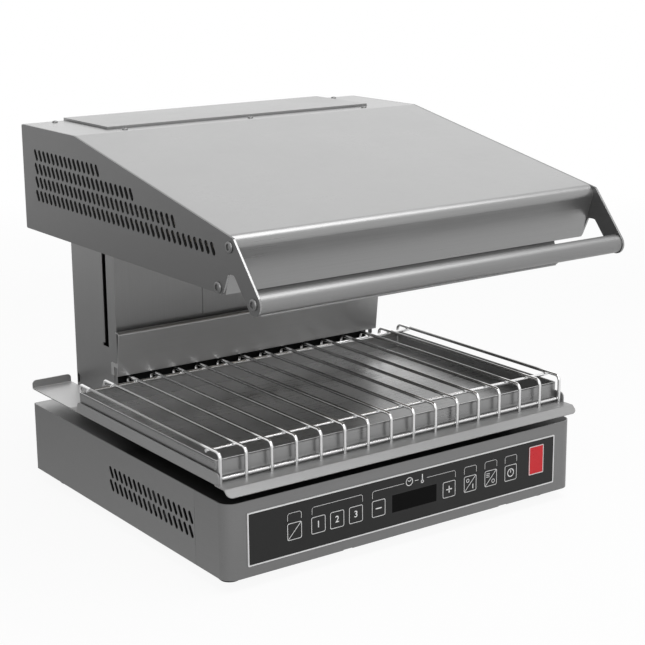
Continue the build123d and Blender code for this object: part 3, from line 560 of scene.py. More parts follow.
@dataclass(frozen=True)
class Ink(Finish):
    """Printed ink of the panel's signs, slightly uneven."""

    colour: Colour
    roughness: float = 0.45
    specular: float = 0.3
    patch_cell: float = 700.0
    patch_rough: float = 0.1
    thin_share: float = 0.85

    def material(self) -> Material:
        """Build the ink.

        Returns:
            The material.
        """
        net = Net(self.name)
        patch = net.noise(self.patch_cell)
        return net.surface(
            Base_Color=net.blend(patch, shade(self.colour, self.thin_share), self.colour),
            Roughness=(self.roughness + patch.swing(self.patch_rough)).held(),
            Specular_IOR_Level=self.specular,
        )


@dataclass(frozen=True)
class CircuitBoard(Finish):
    """Green board with paler tracks."""

    lacquer: Colour = (0.02, 0.12, 0.05)
    track: Colour = (0.07, 0.26, 0.12)
    pitch_x: float = 1900.0
    pitch_y: float = 1500.0
    wide: float = 0.8
    narrow: float = 0.9
    patch_cell: float = 60.0
    patch_detail: float = 1.0
    roughness: float = 0.4
    polish: float = 0.1
    relief: float = 0.2

    def material(self) -> Material:
        """Build the board.

        Returns:
            The material.
        """
        net = Net(self.name)
        x, y, _ = net.split(net.place())
        lines = ((x * self.pitch_x).wave() > self.wide) + ((y * self.pitch_y).wave() > self.narrow)
        patch = net.noise(self.patch_cell, self.patch_detail) > NOISE_MEAN
        share = (lines * patch).held()
        return net.surface(
            Base_Color=net.blend(share, self.lacquer, self.track),
            Roughness=(self.roughness - share * self.polish).held(),
            Normal=net.relief(share, self.relief),
        )


@dataclass(frozen=True)
class HeatedSteel(Finish):
    """Bright sheet near the heat, with straw and blue tints and faint runs."""

    tints: tuple[tuple[float, Colour], ...] = (
        (0.3, grey(0.5)),
        (0.55, (0.5, 0.44, 0.34)),
        (0.7, (0.38, 0.36, 0.42)),
    )
    broad_cells: Point = (11.0, 16.0, 11.0)
    line_cells: Point = (7.0, 1100.0, 1100.0)
    metallic: float = 0.9
    roughness: float = 0.24
    line_rough: float = 0.15
    broad_rough: float = 0.2
    relief: float = 0.04
    edge: float = 0.4 * MM

    def material(self) -> Material:
        """Build the sheet.

        Returns:
            The material.
        """
        net = Net(self.name)
        broad = net.noise(self.broad_cells, FINE_DETAIL)
        lines = net.noise(self.line_cells)
        tint = net.node("ShaderNodeValToRGB", {"stops": self.tints}, {"Fac": broad})
        rough = self.roughness + lines.swing(self.line_rough) + broad.swing(self.broad_rough)
        return net.surface(
            Base_Color=tint.outputs[0],
            Metallic=self.metallic,
            Roughness=rough.held(),
            Normal=net.relief(lines, self.relief, self.edge),
        )


@dataclass(frozen=True)
class QuartzTube(Finish):
    """Milky radiant tube with the wound wire showing through as rings."""

    glass: Colour = (0.75, 0.72, 0.68)
    wire: Colour = (0.38, 0.33, 0.3)
    pitch: float = 2100.0
    gap: float = 0.3
    wire_share: float = 0.7
    cloud_cell: float = 60.0
    cloud_rough: float = 0.12
    roughness: float = 0.22
    coat: float = 0.5

    def material(self) -> Material:
        """Build the tube.

        Returns:
            The material.
        """
        net = Net(self.name)
        along = net.split(net.place())[Axis.X.value]
        coil = ((along * self.pitch).wave() > self.gap).held()
        cloud = net.noise(self.cloud_cell)
        share = (coil * self.wire_share + cloud * (1.0 - self.wire_share)).held()
        return net.surface(
            Base_Color=net.blend(share, self.glass, self.wire),
            Roughness=(self.roughness + cloud * self.cloud_rough).held(),
            Coat_Weight=self.coat,
        )


@dataclass(frozen=True)
class Blanket(Finish):
    """Pale fibre blanket."""

    hollow: Colour = (0.55, 0.53, 0.46)
    crest: Colour = (0.82, 0.8, 0.74)
    cell: float = 120.0
    detail: float = 5.0
    coarse: float = 0.7
    roughness: float = 0.85
    tuft_rough: float = 0.2
    relief: float = 0.8

    def material(self) -> Material:
        """Build the blanket.

        Returns:
            The material.
        """
        net = Net(self.name)
        tuft = net.noise(self.cell, self.detail, self.coarse)
        return net.surface(
            Base_Color=net.blend(tuft, self.hollow, self.crest),
            Roughness=(self.roughness + tuft.swing(self.tuft_rough)).held(),
            Normal=net.relief(tuft, self.relief),
        )


class Bench:
    """Modelling by hand: primitives, edit-mode operators and applied modifiers."""

    @staticmethod
    def clear() -> None:
        """Leave edit mode with nothing selected."""
        if bpy.context.object and bpy.context.object.mode != "OBJECT":
            Bench.done()
        bpy.ops.object.select_all(action="DESELECT")

    @staticmethod
    def done() -> None:
        """Leave edit mode."""
        bpy.ops.object.mode_set(mode="OBJECT")

    @staticmethod
    def hold(*pieces: Piece) -> None:
        """Select pieces and make the first one active.

        Args:
            pieces: The pieces.
        """
        Bench.clear()
        for piece in pieces:
            piece.select_set(True)
        bpy.context.view_layer.objects.active = pieces[0]

    @staticmethod
    def take(name: str) -> Piece:
        """Name the piece that was just made.

        Args:
            name: The piece's name.

        Returns:
            The piece.
        """
        piece = bpy.context.object
        piece.name = name
        piece.data.name = name
        return piece

    @staticmethod
    def pick(piece: Piece, kind: str, test: Callable[[Any], bool]) -> None:
        """Select faces, edges or vertices by a test, and enter edit mode.

        Args:
            piece: The piece.
            kind: "FACE", "EDGE" or "VERT".
            test: Says which elements are selected.
        """
        mesh = piece.data
        groups = {"FACE": mesh.polygons, "EDGE": mesh.edges, "VERT": mesh.vertices}
        for elements in groups.values():
            for element in elements:
                element.select = False
        for element in groups[kind]:
            element.select = test(element)
        bpy.ops.object.mode_set(mode="EDIT")
        bpy.ops.mesh.select_mode(type=kind)

    @staticmethod
    def ends(mesh: bpy.types.Mesh, edge: bpy.types.MeshEdge) -> list[Vector]:
        """Both ends of an edge."""
        return [mesh.vertices[index].co for index in edge.vertices]

    @staticmethod
    def modify(piece: Piece, kind: str, **settings: Any) -> None:
        """Add a modifier and apply it.

        Args:
            piece: The piece.
            kind: The modifier's type.
            settings: The modifier's properties.
        """
        Bench.hold(piece)
        modifier = piece.modifiers.new(kind.title(), kind)
        for key, setting in settings.items():
            setattr(modifier, key, setting)
        bpy.ops.object.modifier_apply(modifier=modifier.name)

    @staticmethod
    def soften(piece: Piece, radius: float) -> None:
        """Round a piece's sharp edges and shade it smooth."""
        Bench.modify(piece, "BEVEL", width=radius, segments=EDGE_SEGMENTS, limit_method="ANGLE")
        Bench.smooth(piece)

    @staticmethod
    def turned(name: str, rings: Sequence[tuple[float, float]], steps: int) -> Piece:
        """Model a turned piece ring by ring, standing on the z axis.

        Args:
            name: The piece's name.
            rings: Radius and height of each ring in millimetres, in order.
            steps: Corners round the axis.

        Returns:
            The piece.
        """
        radius, height = rings[0]
        piece = Bench.disc(name, radius * MM, steps)
        piece.data.transform(Matrix.Translation((0, 0, height * MM)))
        Bench.pick(piece, "FACE", lambda face: True)
        for wider, higher in rings[1:]:
            rise = (0.0, 0.0, (higher - height) * MM)
            bpy.ops.mesh.extrude_region_move(TRANSFORM_OT_translate={"value": rise})
            bpy.ops.transform.resize(value=(wider / radius, wider / radius, 1.0))
            radius, height = wider, higher
        bpy.ops.mesh.select_all(action="SELECT")
        bpy.ops.mesh.normals_make_consistent(inside=False)
        Bench.done()
        return piece

    @staticmethod
    def disc(name: str, radius: float, steps: int) -> Piece:
        """Start a piece from a flat disc round the origin.

        Args:
            name: The piece's name.
            radius: Its radius.
            steps: Corners round its edge.

        Returns:
            The disc.
        """
        Bench.clear()
        bpy.ops.mesh.primitive_circle_add(vertices=steps, radius=radius, fill_type="NGON", location=(0, 0, 0))
        return Bench.take(name)

    @staticmethod
    def block(name: str, low: Sequence[float], high: Sequence[float]) -> Piece:
        """Start a piece from a block between two corners.

        Args:
            name: The piece's name.
            low: Lowest corner.
            high: Highest corner.

        Returns:
            The block.
        """
        size = Vector(high) - Vector(low)
        middle = (Vector(high) + Vector(low)) / 2
        Bench.clear()
        bpy.ops.mesh.primitive_cube_add(size=1.0, location=(0, 0, 0))
        piece = Bench.take(name)
        piece.data.transform(Matrix.Translation(middle) @ Matrix.Diagonal((*size, 1.0)))
        return piece

    @staticmethod
    def rim(name: str, width: float, height: float, corner: float, border: float, segments: int) -> Piece:
        """Start a piece from a flat rounded border round the origin.

        Args:
            name: The piece's name.
            width: Width over all.
            height: Height over all.
            corner: Radius of the corners.
            border: Width of the border.
            segments: Steps of each corner.

        Returns:
            The border.
        """
        Bench.clear()
        bpy.ops.mesh.primitive_plane_add(size=1.0, location=(0, 0, 0))
        piece = Bench.take(name)
        piece.data.transform(Matrix.Diagonal((width, height, 1.0, 1.0)))
        Bench.pick(piece, "VERT", lambda vertex: True)
        bpy.ops.mesh.bevel(offset=corner, segments=segments, affect="VERTICES")
        bpy.ops.mesh.select_mode(type="FACE")
        bpy.ops.mesh.select_all(action="SELECT")
        Bench.hollow(border)
        return piece

    @staticmethod
    def hollow(border: float) -> None:
        """Cut the selected flat face down to its border, and leave edit mode.

        Args:
            border: Width of the border.
        """
        bpy.ops.mesh.inset(thickness=border, depth=0.0)
        bpy.ops.mesh.delete(type="FACE")
        Bench.done()

    @staticmethod
    def place(piece: Piece, shifts: Sequence[Point]) -> Piece:
        """Copy a piece to several places and join the copies in its stead.

        Args:
            piece: The piece, modelled once at the origin.
            shifts: Where the copies go.

        Returns:
            The joined copies.
        """
        name = piece.name
        copies = [Bench.copy(piece, shift) for shift in shifts]
        bpy.data.objects.remove(piece)
        return Bench.join(name, copies)

    @staticmethod
    def copy(piece: Piece, shift: Point) -> Piece:
        """Copy a piece with its own mesh, and move the copy in its mesh.

        Args:
            piece: The piece to copy.
            shift: How far the copy is moved, in metres.

        Returns:
            The copy.
        """
        twin = piece.copy()
        twin.data = piece.data.copy()
        bpy.context.scene.collection.objects.link(twin)
        twin.data.transform(Matrix.Translation(shift))
        return twin

    @staticmethod
    def join(name: str, pieces: Sequence[Piece]) -> Piece:
        """Join pieces into one.

        Args:
            name: The joined piece's name.
            pieces: The pieces.

        Returns:
            The joined piece.
        """
        Bench.hold(*pieces)
        bpy.ops.object.join()
        return Bench.take(name)

    @staticmethod
    def smooth(piece: Piece, degrees: float = 35.0) -> None:
        """Shade smooth, but keep edges sharp above an angle."""
        Bench.hold(piece)
        bpy.ops.object.shade_smooth_by_angle(angle=math.radians(degrees))


def dress(nodes: Iterable[str], finish: Finish) -> None:
    """Give CAD nodes a finish.

    Args:
        nodes: Names of the nodes.
        finish: The finish.
    """
    material = finish.material()
    for name in nodes:
        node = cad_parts[name]
        node.data.materials.clear()
        node.data.materials.append(material)
        log.info("node %s: %s", name, finish.name)


def fit(piece: Piece, body: str, finish: Finish) -> Piece:
    """Finish a new piece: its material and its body.

    Args:
        piece: The piece, with its place in its mesh.
        body: CAD body that it moves with.
        finish: The finish.

    Returns:
        The piece.
    """
    piece.data.materials.clear()
    piece.data.materials.append(finish.material())
    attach(piece, body)
    log.info("piece %s on %s: %s", piece.name, body, finish.name)
    return piece


@dataclass(frozen=True)
class Stroke:
    """Straight stroke of a sign, in millimetres from the sign's middle."""

    start: tuple[float, float]
    end: tuple[float, float]
    width: float = PRINT_LINE


@dataclass(frozen=True)
class Ring:
    """Ring of a sign, in millimetres from the sign's middle."""

    middle: tuple[float, float]
    radius: float
    width: float = PRINT_LINE


@dataclass(frozen=True)
class Mark:
    """What a sign is made of: strokes, rings, a number, or a slash across its key."""

    strokes: tuple[Stroke, ...] = ()
    rings: tuple[Ring, ...] = ()
    number: str = ""
    slashed: bool = False


class Sign(Enum):
    """Sign on the control panel."""

    SLASH = Mark(slashed=True)
    NUMBER_1 = Mark(number="1")
    NUMBER_2 = Mark(number="2")
    NUMBER_3 = Mark(number="3")
    MINUS = Mark((Stroke((-4.4, 0.0), (4.4, 0.0), 1.7),))
    PLUS = Mark((Stroke((-4.4, 0.0), (4.4, 0.0), 1.7), Stroke((0.0, -4.4), (0.0, 4.4), 1.7)))
    DEGREES = Mark((Stroke((5.0, -7.5), (5.0, -2.0), 1.5),), (Ring((-4.5, 5.0), 2.4),), slashed=True)
    BARS = Mark(
        tuple(Stroke((-8.0, rise), (-2.5, rise)) for rise in (2.5, 5.0, 7.5)),
        (Ring((4.6, -5.0), 2.6),),
        slashed=True,
    )
    POWER = Mark((Stroke((0.0, 0.5), (0.0, 3.0), 1.3),), (Ring((0.0, 0.0), 5.6, 1.3),))
    CLOCK = Mark(
        (Stroke((0.0, 0.0), (-2.4, 1.8), 1.0), Stroke((0.0, 0.0), (3.2, 2.2), 1.0)),
        (Ring((0.0, 0.0), 5.6, 1.0),),
    )
    DASH = Mark((Stroke((-2.75, 0.0), (2.75, 0.0)),))
    THERMOMETER = Mark((Stroke((0.0, -1.2), (0.0, 6.4), 1.5),), (Ring((0.0, -3.6), 1.9, 1.0),))


@dataclass
class ControlPanel:
    """Touch glass with printed keys, brackets, display window and a blank badge."""

    key_width: float = 22.6 * MM
    key_height: float = 23.6 * MM
    key_corner: float = 2.6 * MM
    key_middle: float = 64.3 * MM
    key_margin: float = 1.6 * MM
    line: float = PRINT_LINE * MM
    ink: float = 0.06 * MM
    round_share: float = 0.45
    round_segments: int = 2
    numeral: float = 13.0 * MM
    bold_share: float = 0.012
    bracket_line: float = 0.55 * MM
    bracket_low: float = 80.0 * MM
    bracket_high: float = 90.0 * MM
    bracket_corner: float = 2.2 * MM
    display: tuple[float, float] = (-35.3 * MM, 42.2 * MM)
    display_height: float = 25.0 * MM
    display_lift: float = 0.4 * MM
    display_rim: float = 1.4 * MM
    display_step_share: float = 0.6
    badge_border: float = 1.3 * MM
    badge_corner: float = 1.4 * MM
    badge_segments: int = 3
    key_segments: int = 5
    ring_steps: int = 40

    # Middles of the keys along x, ends of the brackets, and the signs on the longest bracket with their
    # height above its line, in millimetres.
    KEYS = (
        (-195.6, Sign.SLASH),
        (-157.7, Sign.NUMBER_1),
        (-127.3, Sign.NUMBER_2),
        (-96.4, Sign.NUMBER_3),
        (-58.3, Sign.MINUS),
        (64.9, Sign.PLUS),
        (103.3, Sign.DEGREES),
        (141.5, Sign.BARS),
        (179.2, Sign.POWER),
    )
    BRACKETS = (
        (-206.4, -184.8), (-167.8, -85.3), (-68.8, 76.0), (92.3, 114.4), (130.3, 152.6), (168.2, 190.4),
    )
    BRACKET_GAP = (-15.0, 25.0)
    BRACKET_SIGNS = ((-5.7, 0.8, Sign.CLOCK), (7.05, 0.0, Sign.DASH), (17.0, 0.0, Sign.THERMOMETER))

    def __post_init__(self) -> None:
        """Find the glass's front face."""
        self.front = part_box("control_glass")[0].y
        self.prints: list[Piece] = []

    def build(self) -> None:
        """Model the prints, the display window and the badge's border."""
        for middle, sign in self.KEYS:
            key = Vector((middle * MM, self.key_middle))
            size = (self.key_width, self.key_height)
            self._print(Bench.rim("key_frame", *size, self.key_corner, self.line, self.key_segments), key)
            self._sign(key, sign)
        for low, high in self.BRACKETS:
            gap = self.BRACKET_GAP if low < self.BRACKET_GAP[0] < high else ()
            self._bracket(low * MM, high * MM, [place * MM for place in gap])
        for middle, lift, sign in self.BRACKET_SIGNS:
            self._sign(Vector((middle * MM, self.bracket_high + lift * MM)), sign)
        fit(Bench.join("panel_signs", self.prints), "base", Ink("sign_ink", grey(0.9)))
        self._window()
        self._badge()

    def dress(self) -> None:
        """Finish the panel's CAD nodes."""
        dress(["control_glass"], TouchGlass("panel_glass", grey(0.016), roughness=0.3, specular=0.28))
        dress(["control_bezel"], PlainMetal("bezel_aluminium", grey(0.9), roughness=0.35, metallic=0.3))
        red = Moulded("badge_red", (0.74, 0.012, 0.022), roughness=0.3, cell=900.0, relief=0.02)
        dress(["badge_plate"], red)

    def _on_glass(self, middle: Vector) -> Matrix:
        """Move from the origin to a place (x, z) in the ink on the glass."""
        return Matrix.Translation((middle.x, self.front - self.ink / 2, middle.y))

    def _print(self, outline: Piece, middle: Vector) -> None:
        """Print a flat outline.

        Args:
            outline: The outline, lying round the origin.
            middle: Its middle on the glass (x, z).
        """
        outline.data.transform(UPRIGHT)
        Bench.modify(outline, "SOLIDIFY", thickness=self.ink, offset=0.0)
        outline.data.transform(self._on_glass(middle))
        self.prints.append(outline)

    def _bar(self, start: Vector, end: Vector, width: float) -> None:
        """Print a straight stroke with rounded ends.

        Args:
            start: First end (x, z).
            end: Second end (x, z).
            width: Stroke width.
        """
        run = end - start
        half = Vector((run.length + width, self.ink, width)) / 2
        bar = Bench.block("stroke", -half, half)
        Bench.pick(bar, "EDGE", lambda edge: self._runs_deep(*Bench.ends(bar.data, edge)))
        bpy.ops.mesh.bevel(offset=width * self.round_share, segments=self.round_segments, affect="EDGES")
        Bench.done()
        turn = Matrix.Rotation(-math.atan2(run.y, run.x), 4, "Y")
        bar.data.transform(self._on_glass((start + end) / 2) @ turn)
        self.prints.append(bar)

    def _runs_deep(self, first: Vector, second: Vector) -> bool:
        """Whether an edge runs through the ink's thickness."""
        return abs(first.y - second.y) > self.ink / 2

    def _bracket(self, low: float, high: float, gap: Sequence[float]) -> None:
        """Print a bracket over a group of keys.

        Args:
            low: Left end along x.
            high: Right end along x.
            gap: Ends of the stretch of its top that is left out, if any.
        """
        top, corner, line = self.bracket_high, self.bracket_corner, self.bracket_line
        stops = [Vector((place, top)) for place in (low + corner, *gap, high - corner)]
        for start, end in zip(stops[0::2], stops[1::2]):
            self._bar(start, end, line)
        for side, stop in ((low, stops[0]), (high, stops[-1])):
            bend = Vector((side, top - corner))
            self._bar(Vector((side, self.bracket_low)), bend, line)
            self._bar(bend, stop, line)

    def _sign(self, middle: Vector, sign: Sign) -> None:
        """Print a sign.

        Args:
            middle: Its middle (x, z).
            sign: Which sign.
        """
        mark = sign.value
        if mark.slashed:
            half = Vector((self.key_width / 2 - self.key_margin, self.key_height / 2 - self.key_margin))
            self._bar(middle - half, middle + half, self.line)
        for stroke in mark.strokes:
            ends = [middle + Vector(end) * MM for end in (stroke.start, stroke.end)]
            self._bar(*ends, stroke.width * MM)
        for ring in mark.rings:
            self._ring(middle + Vector(ring.middle) * MM, ring.radius * MM, ring.width * MM)
        if mark.number:
            self._numeral(middle, mark.number)

    def _ring(self, middle: Vector, radius: float, width: float) -> None:
        """Print a ring.

        Args:
            middle: Its middle (x, z).
            radius: Radius of its middle line.
            width: Width of the line.
        """
        ring = Bench.disc("ring", radius + width / 2, self.ring_steps)
        Bench.pick(ring, "FACE", lambda face: True)
        Bench.hollow(width)
        self._print(ring, middle)

    def _numeral(self, middle: Vector, text: str) -> None:
        """Print a number.

        Args:
            middle: Its middle (x, z).
            text: The number.
        """
        Bench.clear()
        bpy.ops.object.text_add(location=(0, 0, 0))
        words = bpy.context.object.data
        words.body = text
        words.size = self.numeral
        words.align_x = "CENTER"
        words.align_y = "CENTER"
        words.extrude = self.ink / 2
        words.offset = self.numeral * self.bold_share
        bpy.ops.object.convert(target="MESH")
        numeral = Bench.take("numeral")
        numeral.data.transform(self._on_glass(middle) @ UPRIGHT)
        numeral.data.materials.clear()
        self.prints.append(numeral)

    def _window(self) -> None:
        """Model the display window as a thin dark pane with a stepped rim."""
        left, right = self.display
        middle = self.key_middle + self.display_lift
        low = (left, self.front - self.ink, middle - self.display_height / 2)
        pane = Bench.block("display_window", low, (right, self.front, middle + self.display_height / 2))
        Bench.pick(pane, "FACE", lambda face: face.normal.y < FACING_FRONT)
        bpy.ops.mesh.inset(thickness=self.display_rim, depth=0.0)
        bpy.ops.transform.translate(value=(0, self.ink * self.display_step_share, 0))
        Bench.done()
        dark = TouchGlass("display_glass", grey(0.003), roughness=0.22, specular=0.06)
        fit(pane, "base", dark)

    def _badge(self) -> None:
        """Model the pale border of the blank badge."""
        low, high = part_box("badge_plate")
        size = (high.x - low.x, high.z - low.z)
        border = Bench.rim("badge_border", *size, self.badge_corner, self.badge_border, self.badge_segments)
        border.data.transform(UPRIGHT)
        Bench.modify(border, "SOLIDIFY", thickness=self.ink * 2, offset=0.0)
        place = ((low.x + high.x) / 2, low.y - self.ink, (low.z + high.z) / 2)
        border.data.transform(Matrix.Translation(place))
        fit(border, "base", Ink("badge_border_ink", (0.78, 0.74, 0.74)))


@dataclass
class BaseCasing:
    """Casing, feet and electrics of the base."""

    foot_steps: int = 48
    gland_steps: int = 36
    gland_sharp: float = 25.0
    rib: float = 0.9 * MM
    rib_low: float = -13.0 * MM
    rib_high: float = -4.0 * MM
    rib_inner: float = 10.0 * MM

    # Radius and height of each ring, in millimetres.
    FOOT_RINGS = (
        (8.0, 1.5), (8.6, 0.0), (13.5, 0.0), (15.0, 1.5), (15.0, 4.2), (14.2, 4.8), (14.2, 6.2), (15.0, 6.8),
        (15.0, 9.6), (14.2, 10.2), (14.2, 11.6), (15.0, 12.2), (15.0, 15.8), (14.0, 17.0), (4.0, 17.0),
        (4.0, 18.6), (6.0, 18.6), (6.0, 20.2), (5.6, 20.6),
    )
    CAP_RINGS = ((9.0, -14.0), (10.6, -13.4), (10.6, -3.2), (8.6, 0.0), (5.3, 0.0), (5.0, -10.0))
    HEX_RINGS = ((12.4, -20.0), (13.0, -19.4), (13.0, -14.6), (12.4, -14.0))
    THREAD_RINGS = ((9.6, -29.5), (10.0, -29.0), (10.0, -20.0))

    def build(self) -> None:
        """Model the ribbed feet and the cord gland."""
        self._feet()
        self._gland()

    def _feet(self) -> None:
        """Model a turned foot with grip grooves, and copy it to the four corners."""
        low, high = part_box("feet")
        reach = max(radius for radius, _ in self.FOOT_RINGS) * MM
        across = (low.x + reach, high.x - reach)
        deep = (low.y + reach, high.y - reach)
        corners = [(x, y, 0.0) for x in across for y in deep]
        feet = Bench.place(Bench.turned("ribbed_feet", self.FOOT_RINGS, self.foot_steps), corners)
        Bench.smooth(feet)
        rubber = Moulded("foot_rubber", grey(0.025), roughness=0.7, cell=900.0, relief=0.25, specular=0.3)
        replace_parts(fit(feet, "base", rubber), "feet")

    def _gland(self) -> None:
        """Model the cord gland: thread, hexagon and a ribbed cap with an open bore."""
        low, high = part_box("cable_gland")
        cap = Bench.turned("gland_cap", self.CAP_RINGS, self.gland_steps)
        Bench.pick(cap, "FACE", self._is_rib)
        bpy.ops.mesh.extrude_faces_move(TRANSFORM_OT_shrink_fatten={"value": self.rib})
        Bench.done()
        hexagon = Bench.turned("gland_hexagon", self.HEX_RINGS, HEXAGON)
        thread = Bench.turned("gland_thread", self.THREAD_RINGS, self.gland_steps)
        gland = Bench.join("ribbed_gland", [cap, hexagon, thread])
        middle = ((low.x + high.x) / 2, high.y, (low.z + high.z) / 2)
        gland.data.transform(Matrix.Translation(middle) @ UPRIGHT.inverted())
        Bench.smooth(gland, self.gland_sharp)
        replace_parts(fit(gland, "base", Moulded("gland_black", grey(0.03))), "cable_gland")

    def _is_rib(self, face: bpy.types.MeshPolygon) -> bool:
        """Pick every second face of the cap's round wall.

        Args:
            face: The face.

        Returns:
            True for a face that becomes a rib.
        """
        centre = face.center
        wall = self.rib_low < centre.z < self.rib_high and centre.xy.length > self.rib_inner
        step = math.tau / self.gland_steps
        return wall and int(math.atan2(centre.y, centre.x) % math.tau / step) % 2 == 0

    def dress(self) -> None:
        """Finish the base's CAD nodes."""
        dress(["fascia", "base_bottom"], BrushedSteel("casing_steel", light=0.25, dark=0.2))
        # Painted shade: the deck goes near black towards the front, where it lies under the tray.
        painted_shade_under_tray = PaintedLight(Axis.Y, 239.0 * MM, 19.0 * MM, tone=0.014, dull=0.2)
        dress(["base_top"], BrushedSteel("deck_steel", light=0.36, dark=0.29, painted_light=painted_shade_under_tray))
        # The shell's vent slots get painted shade on their walls.
        vents = VentArea(front=-170.0 * MM, rear=78.0 * MM, foot=44.0 * MM, head=97.0 * MM)
        dress(["base_shell"], BrushedSteel("shell_steel", light=0.26, dark=0.21, vents=vents))
        dress(["control_board", "power_board"], CircuitBoard("board_green"))
        plastics = ["display_module", "mains_terminal", "fan_frame", "fan_rotor", "gland_nut"]
        dress(plastics, Moulded("black_moulding", grey(0.03)))
        dress(["transformer"], PlainMetal("core_iron", (0.16, 0.15, 0.14), roughness=0.6, metallic=0.6))
        dress(["board_standoffs"], PlainMetal("post_zinc", grey(0.5), roughness=0.35))


@dataclass
class Column:
    """Column with its panels, the push panel and the lift inside."""

    sheet: float = 1.5 * MM
    leg_width: float = 8.5 * MM
    leg_drop: float = 11.0 * MM
    leg_corner: float = 2.0 * MM
    leg_segments: int = 4

    def build(self) -> None:
        """Model the tips of the push panel's legs."""
        low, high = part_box("push_panel")
        foot = (high.x - self.sheet, high.y - self.leg_width, low.z - self.leg_drop)
        leg = Bench.block("push_leg_tips", foot, (high.x, high.y, low.z))
        middle = low.z - self.leg_drop / 2
        Bench.pick(leg, "EDGE", lambda edge: self._is_foot(*Bench.ends(leg.data, edge), middle))
        bpy.ops.mesh.bevel(offset=self.leg_corner, segments=self.leg_segments, affect="EDGES")
        Bench.done()
        legs = Bench.place(leg, [(0.0, 0.0, 0.0), (low.x - high.x + self.sheet, 0.0, 0.0)])
        fit(legs, "push_unit", BrushedSteel("leg_steel", Axis.Z))

    @staticmethod
    def _is_foot(first: Vector, second: Vector, middle: float) -> bool:
        """Whether an edge is one of the two lowest that run sideways."""
        sideways = abs(first.x - second.x) > abs(first.y - second.y)
        return sideways and max(first.z, second.z) < middle

    def dress(self) -> None:
        """Finish the column's CAD nodes."""
        dress(["column_cover", "column_sides", "column_rear"], BrushedSteel("column_steel", Axis.Z))
        dress(["column_cap"], BrushedSteel("cap_steel", light=0.31, dark=0.25))
        # Painted shade: the column front goes near black below about 190 mm, behind the push panel.
        painted_shade = PaintedLight(Axis.Z, 190.0 * MM, 184.0 * MM, tone=0.006, dull=0.3)
        dress(["column_front"], BrushedSteel("column_front_steel", Axis.Z, painted_light=painted_shade))
        # Painted shade: the push panel darkens towards its right end.
        painted_shade_right = PaintedLight(Axis.X, 60.0 * MM, 190.0 * MM, tone=0.34)
        dress(["push_panel"], BrushedSteel("push_steel", light=0.48, dark=0.41, painted_light=painted_shade_right))
        zinc = PlainMetal("lift_zinc", (0.5, 0.5, 0.51), roughness=0.38)
        dress(["guide_rails", "carriage_arms", "carriage_bar", "gas_spring_rods"], zinc)
        pins = ["roller_pins", "rod_nuts", "push_pins", "push_clips"]
        dress(pins, PlainMetal("pin_steel", grey(0.55), roughness=0.28))
        dress(["push_bushes"], PlainMetal("bush_brass", (0.62, 0.47, 0.2), roughness=0.32))
        dress(["push_sensor"], Moulded("sensor_black", grey(0.03)))
        paint = PlainMetal("spring_paint", grey(0.02), roughness=0.4, metallic=0.0)
        dress(["gas_spring_cylinders"], paint)
        dress(["stop_buffers"], Moulded("buffer_rubber", grey(0.025), roughness=0.75))
        rollers = [f"roller_{level}_{side}" for level in ("lower", "upper") for side in ("left", "right")]
        dress(rollers, Moulded("roller_nylon", (0.78, 0.77, 0.72), roughness=0.45))


@dataclass
class GrillTray:
    """Tray on its rails, drip pan and wire rack."""

    hem: float = 2.4 * MM
    hem_drop: float = 2.0 * MM
    hem_rise: float = 0.2 * MM
    hem_round: float = 0.7 * MM
    pan_corner: float = 4.0 * MM
    pan_segments: int = 5

    def build(self) -> None:
        """Model the folded hem round the drip pan's rim."""
        low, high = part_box("drip_pan")
        size = (high.x - low.x, high.y - low.y)
        hem = Bench.rim("pan_hem", *size, self.pan_corner, self.hem, self.pan_segments)
        Bench.modify(hem, "SOLIDIFY", thickness=self.hem_drop + self.hem_rise, offset=-1.0)
        Bench.soften(hem, self.hem_round)
        middle = ((low.x + high.x) / 2, (low.y + high.y) / 2, high.z + self.hem_rise)
        hem.data.transform(Matrix.Translation(middle))
        # Painted highlight: the hem is far paler than the pan's steel so that the rim reads as a bright line;
        # painted shade darkens its right end.
        painted_shade_right = PaintedLight(Axis.X, 200.0 * MM, 285.0 * MM, tone=0.3)
        steel = BrushedSteel("hem_steel", light=0.84, dark=0.76, metallic=0.3, painted_light=painted_shade_right)
        fit(hem, "tray_unit", steel)

    def dress(self) -> None:
        """Finish the tray's CAD nodes."""
        # Painted light: upward faces of the tray's rear shelf are lighter.
        painted_light_on_shelf = PaintedLight(Axis.Y, 186.0 * MM, 192.0 * MM, tone=0.64, upward=True)
        steel = BrushedSteel(
            "tray_steel", light=0.33, dark=0.28, metallic=0.45, roughness=0.46, painted_light=painted_light_on_shelf
        )
        dress(["tray", "tray_rails", "tray_runners"], steel)
        # Painted reflection: upward faces of the pan floor lighten towards the rear.
        painted_reflection = PaintedLight(Axis.Y, -40.0 * MM, 125.0 * MM, tone=0.74, upward=True)
        pan = BrushedSteel("pan_steel", light=0.32, dark=0.27, roughness=0.3, painted_light=painted_reflection)
        dress(["drip_pan"], pan)
        # Painted shade: the rack's wires are darker from the front legs back to the rear hooks.
        painted_shade_on_wires = PaintedLight(Axis.Y, -186.0 * MM, -172.0 * MM, tone=0.3, dull=0.05, end=132.0 * MM)
        dress(["rack"], PlainMetal("rack_chrome", grey(0.86), roughness=0.13, painted_light=painted_shade_on_wires))


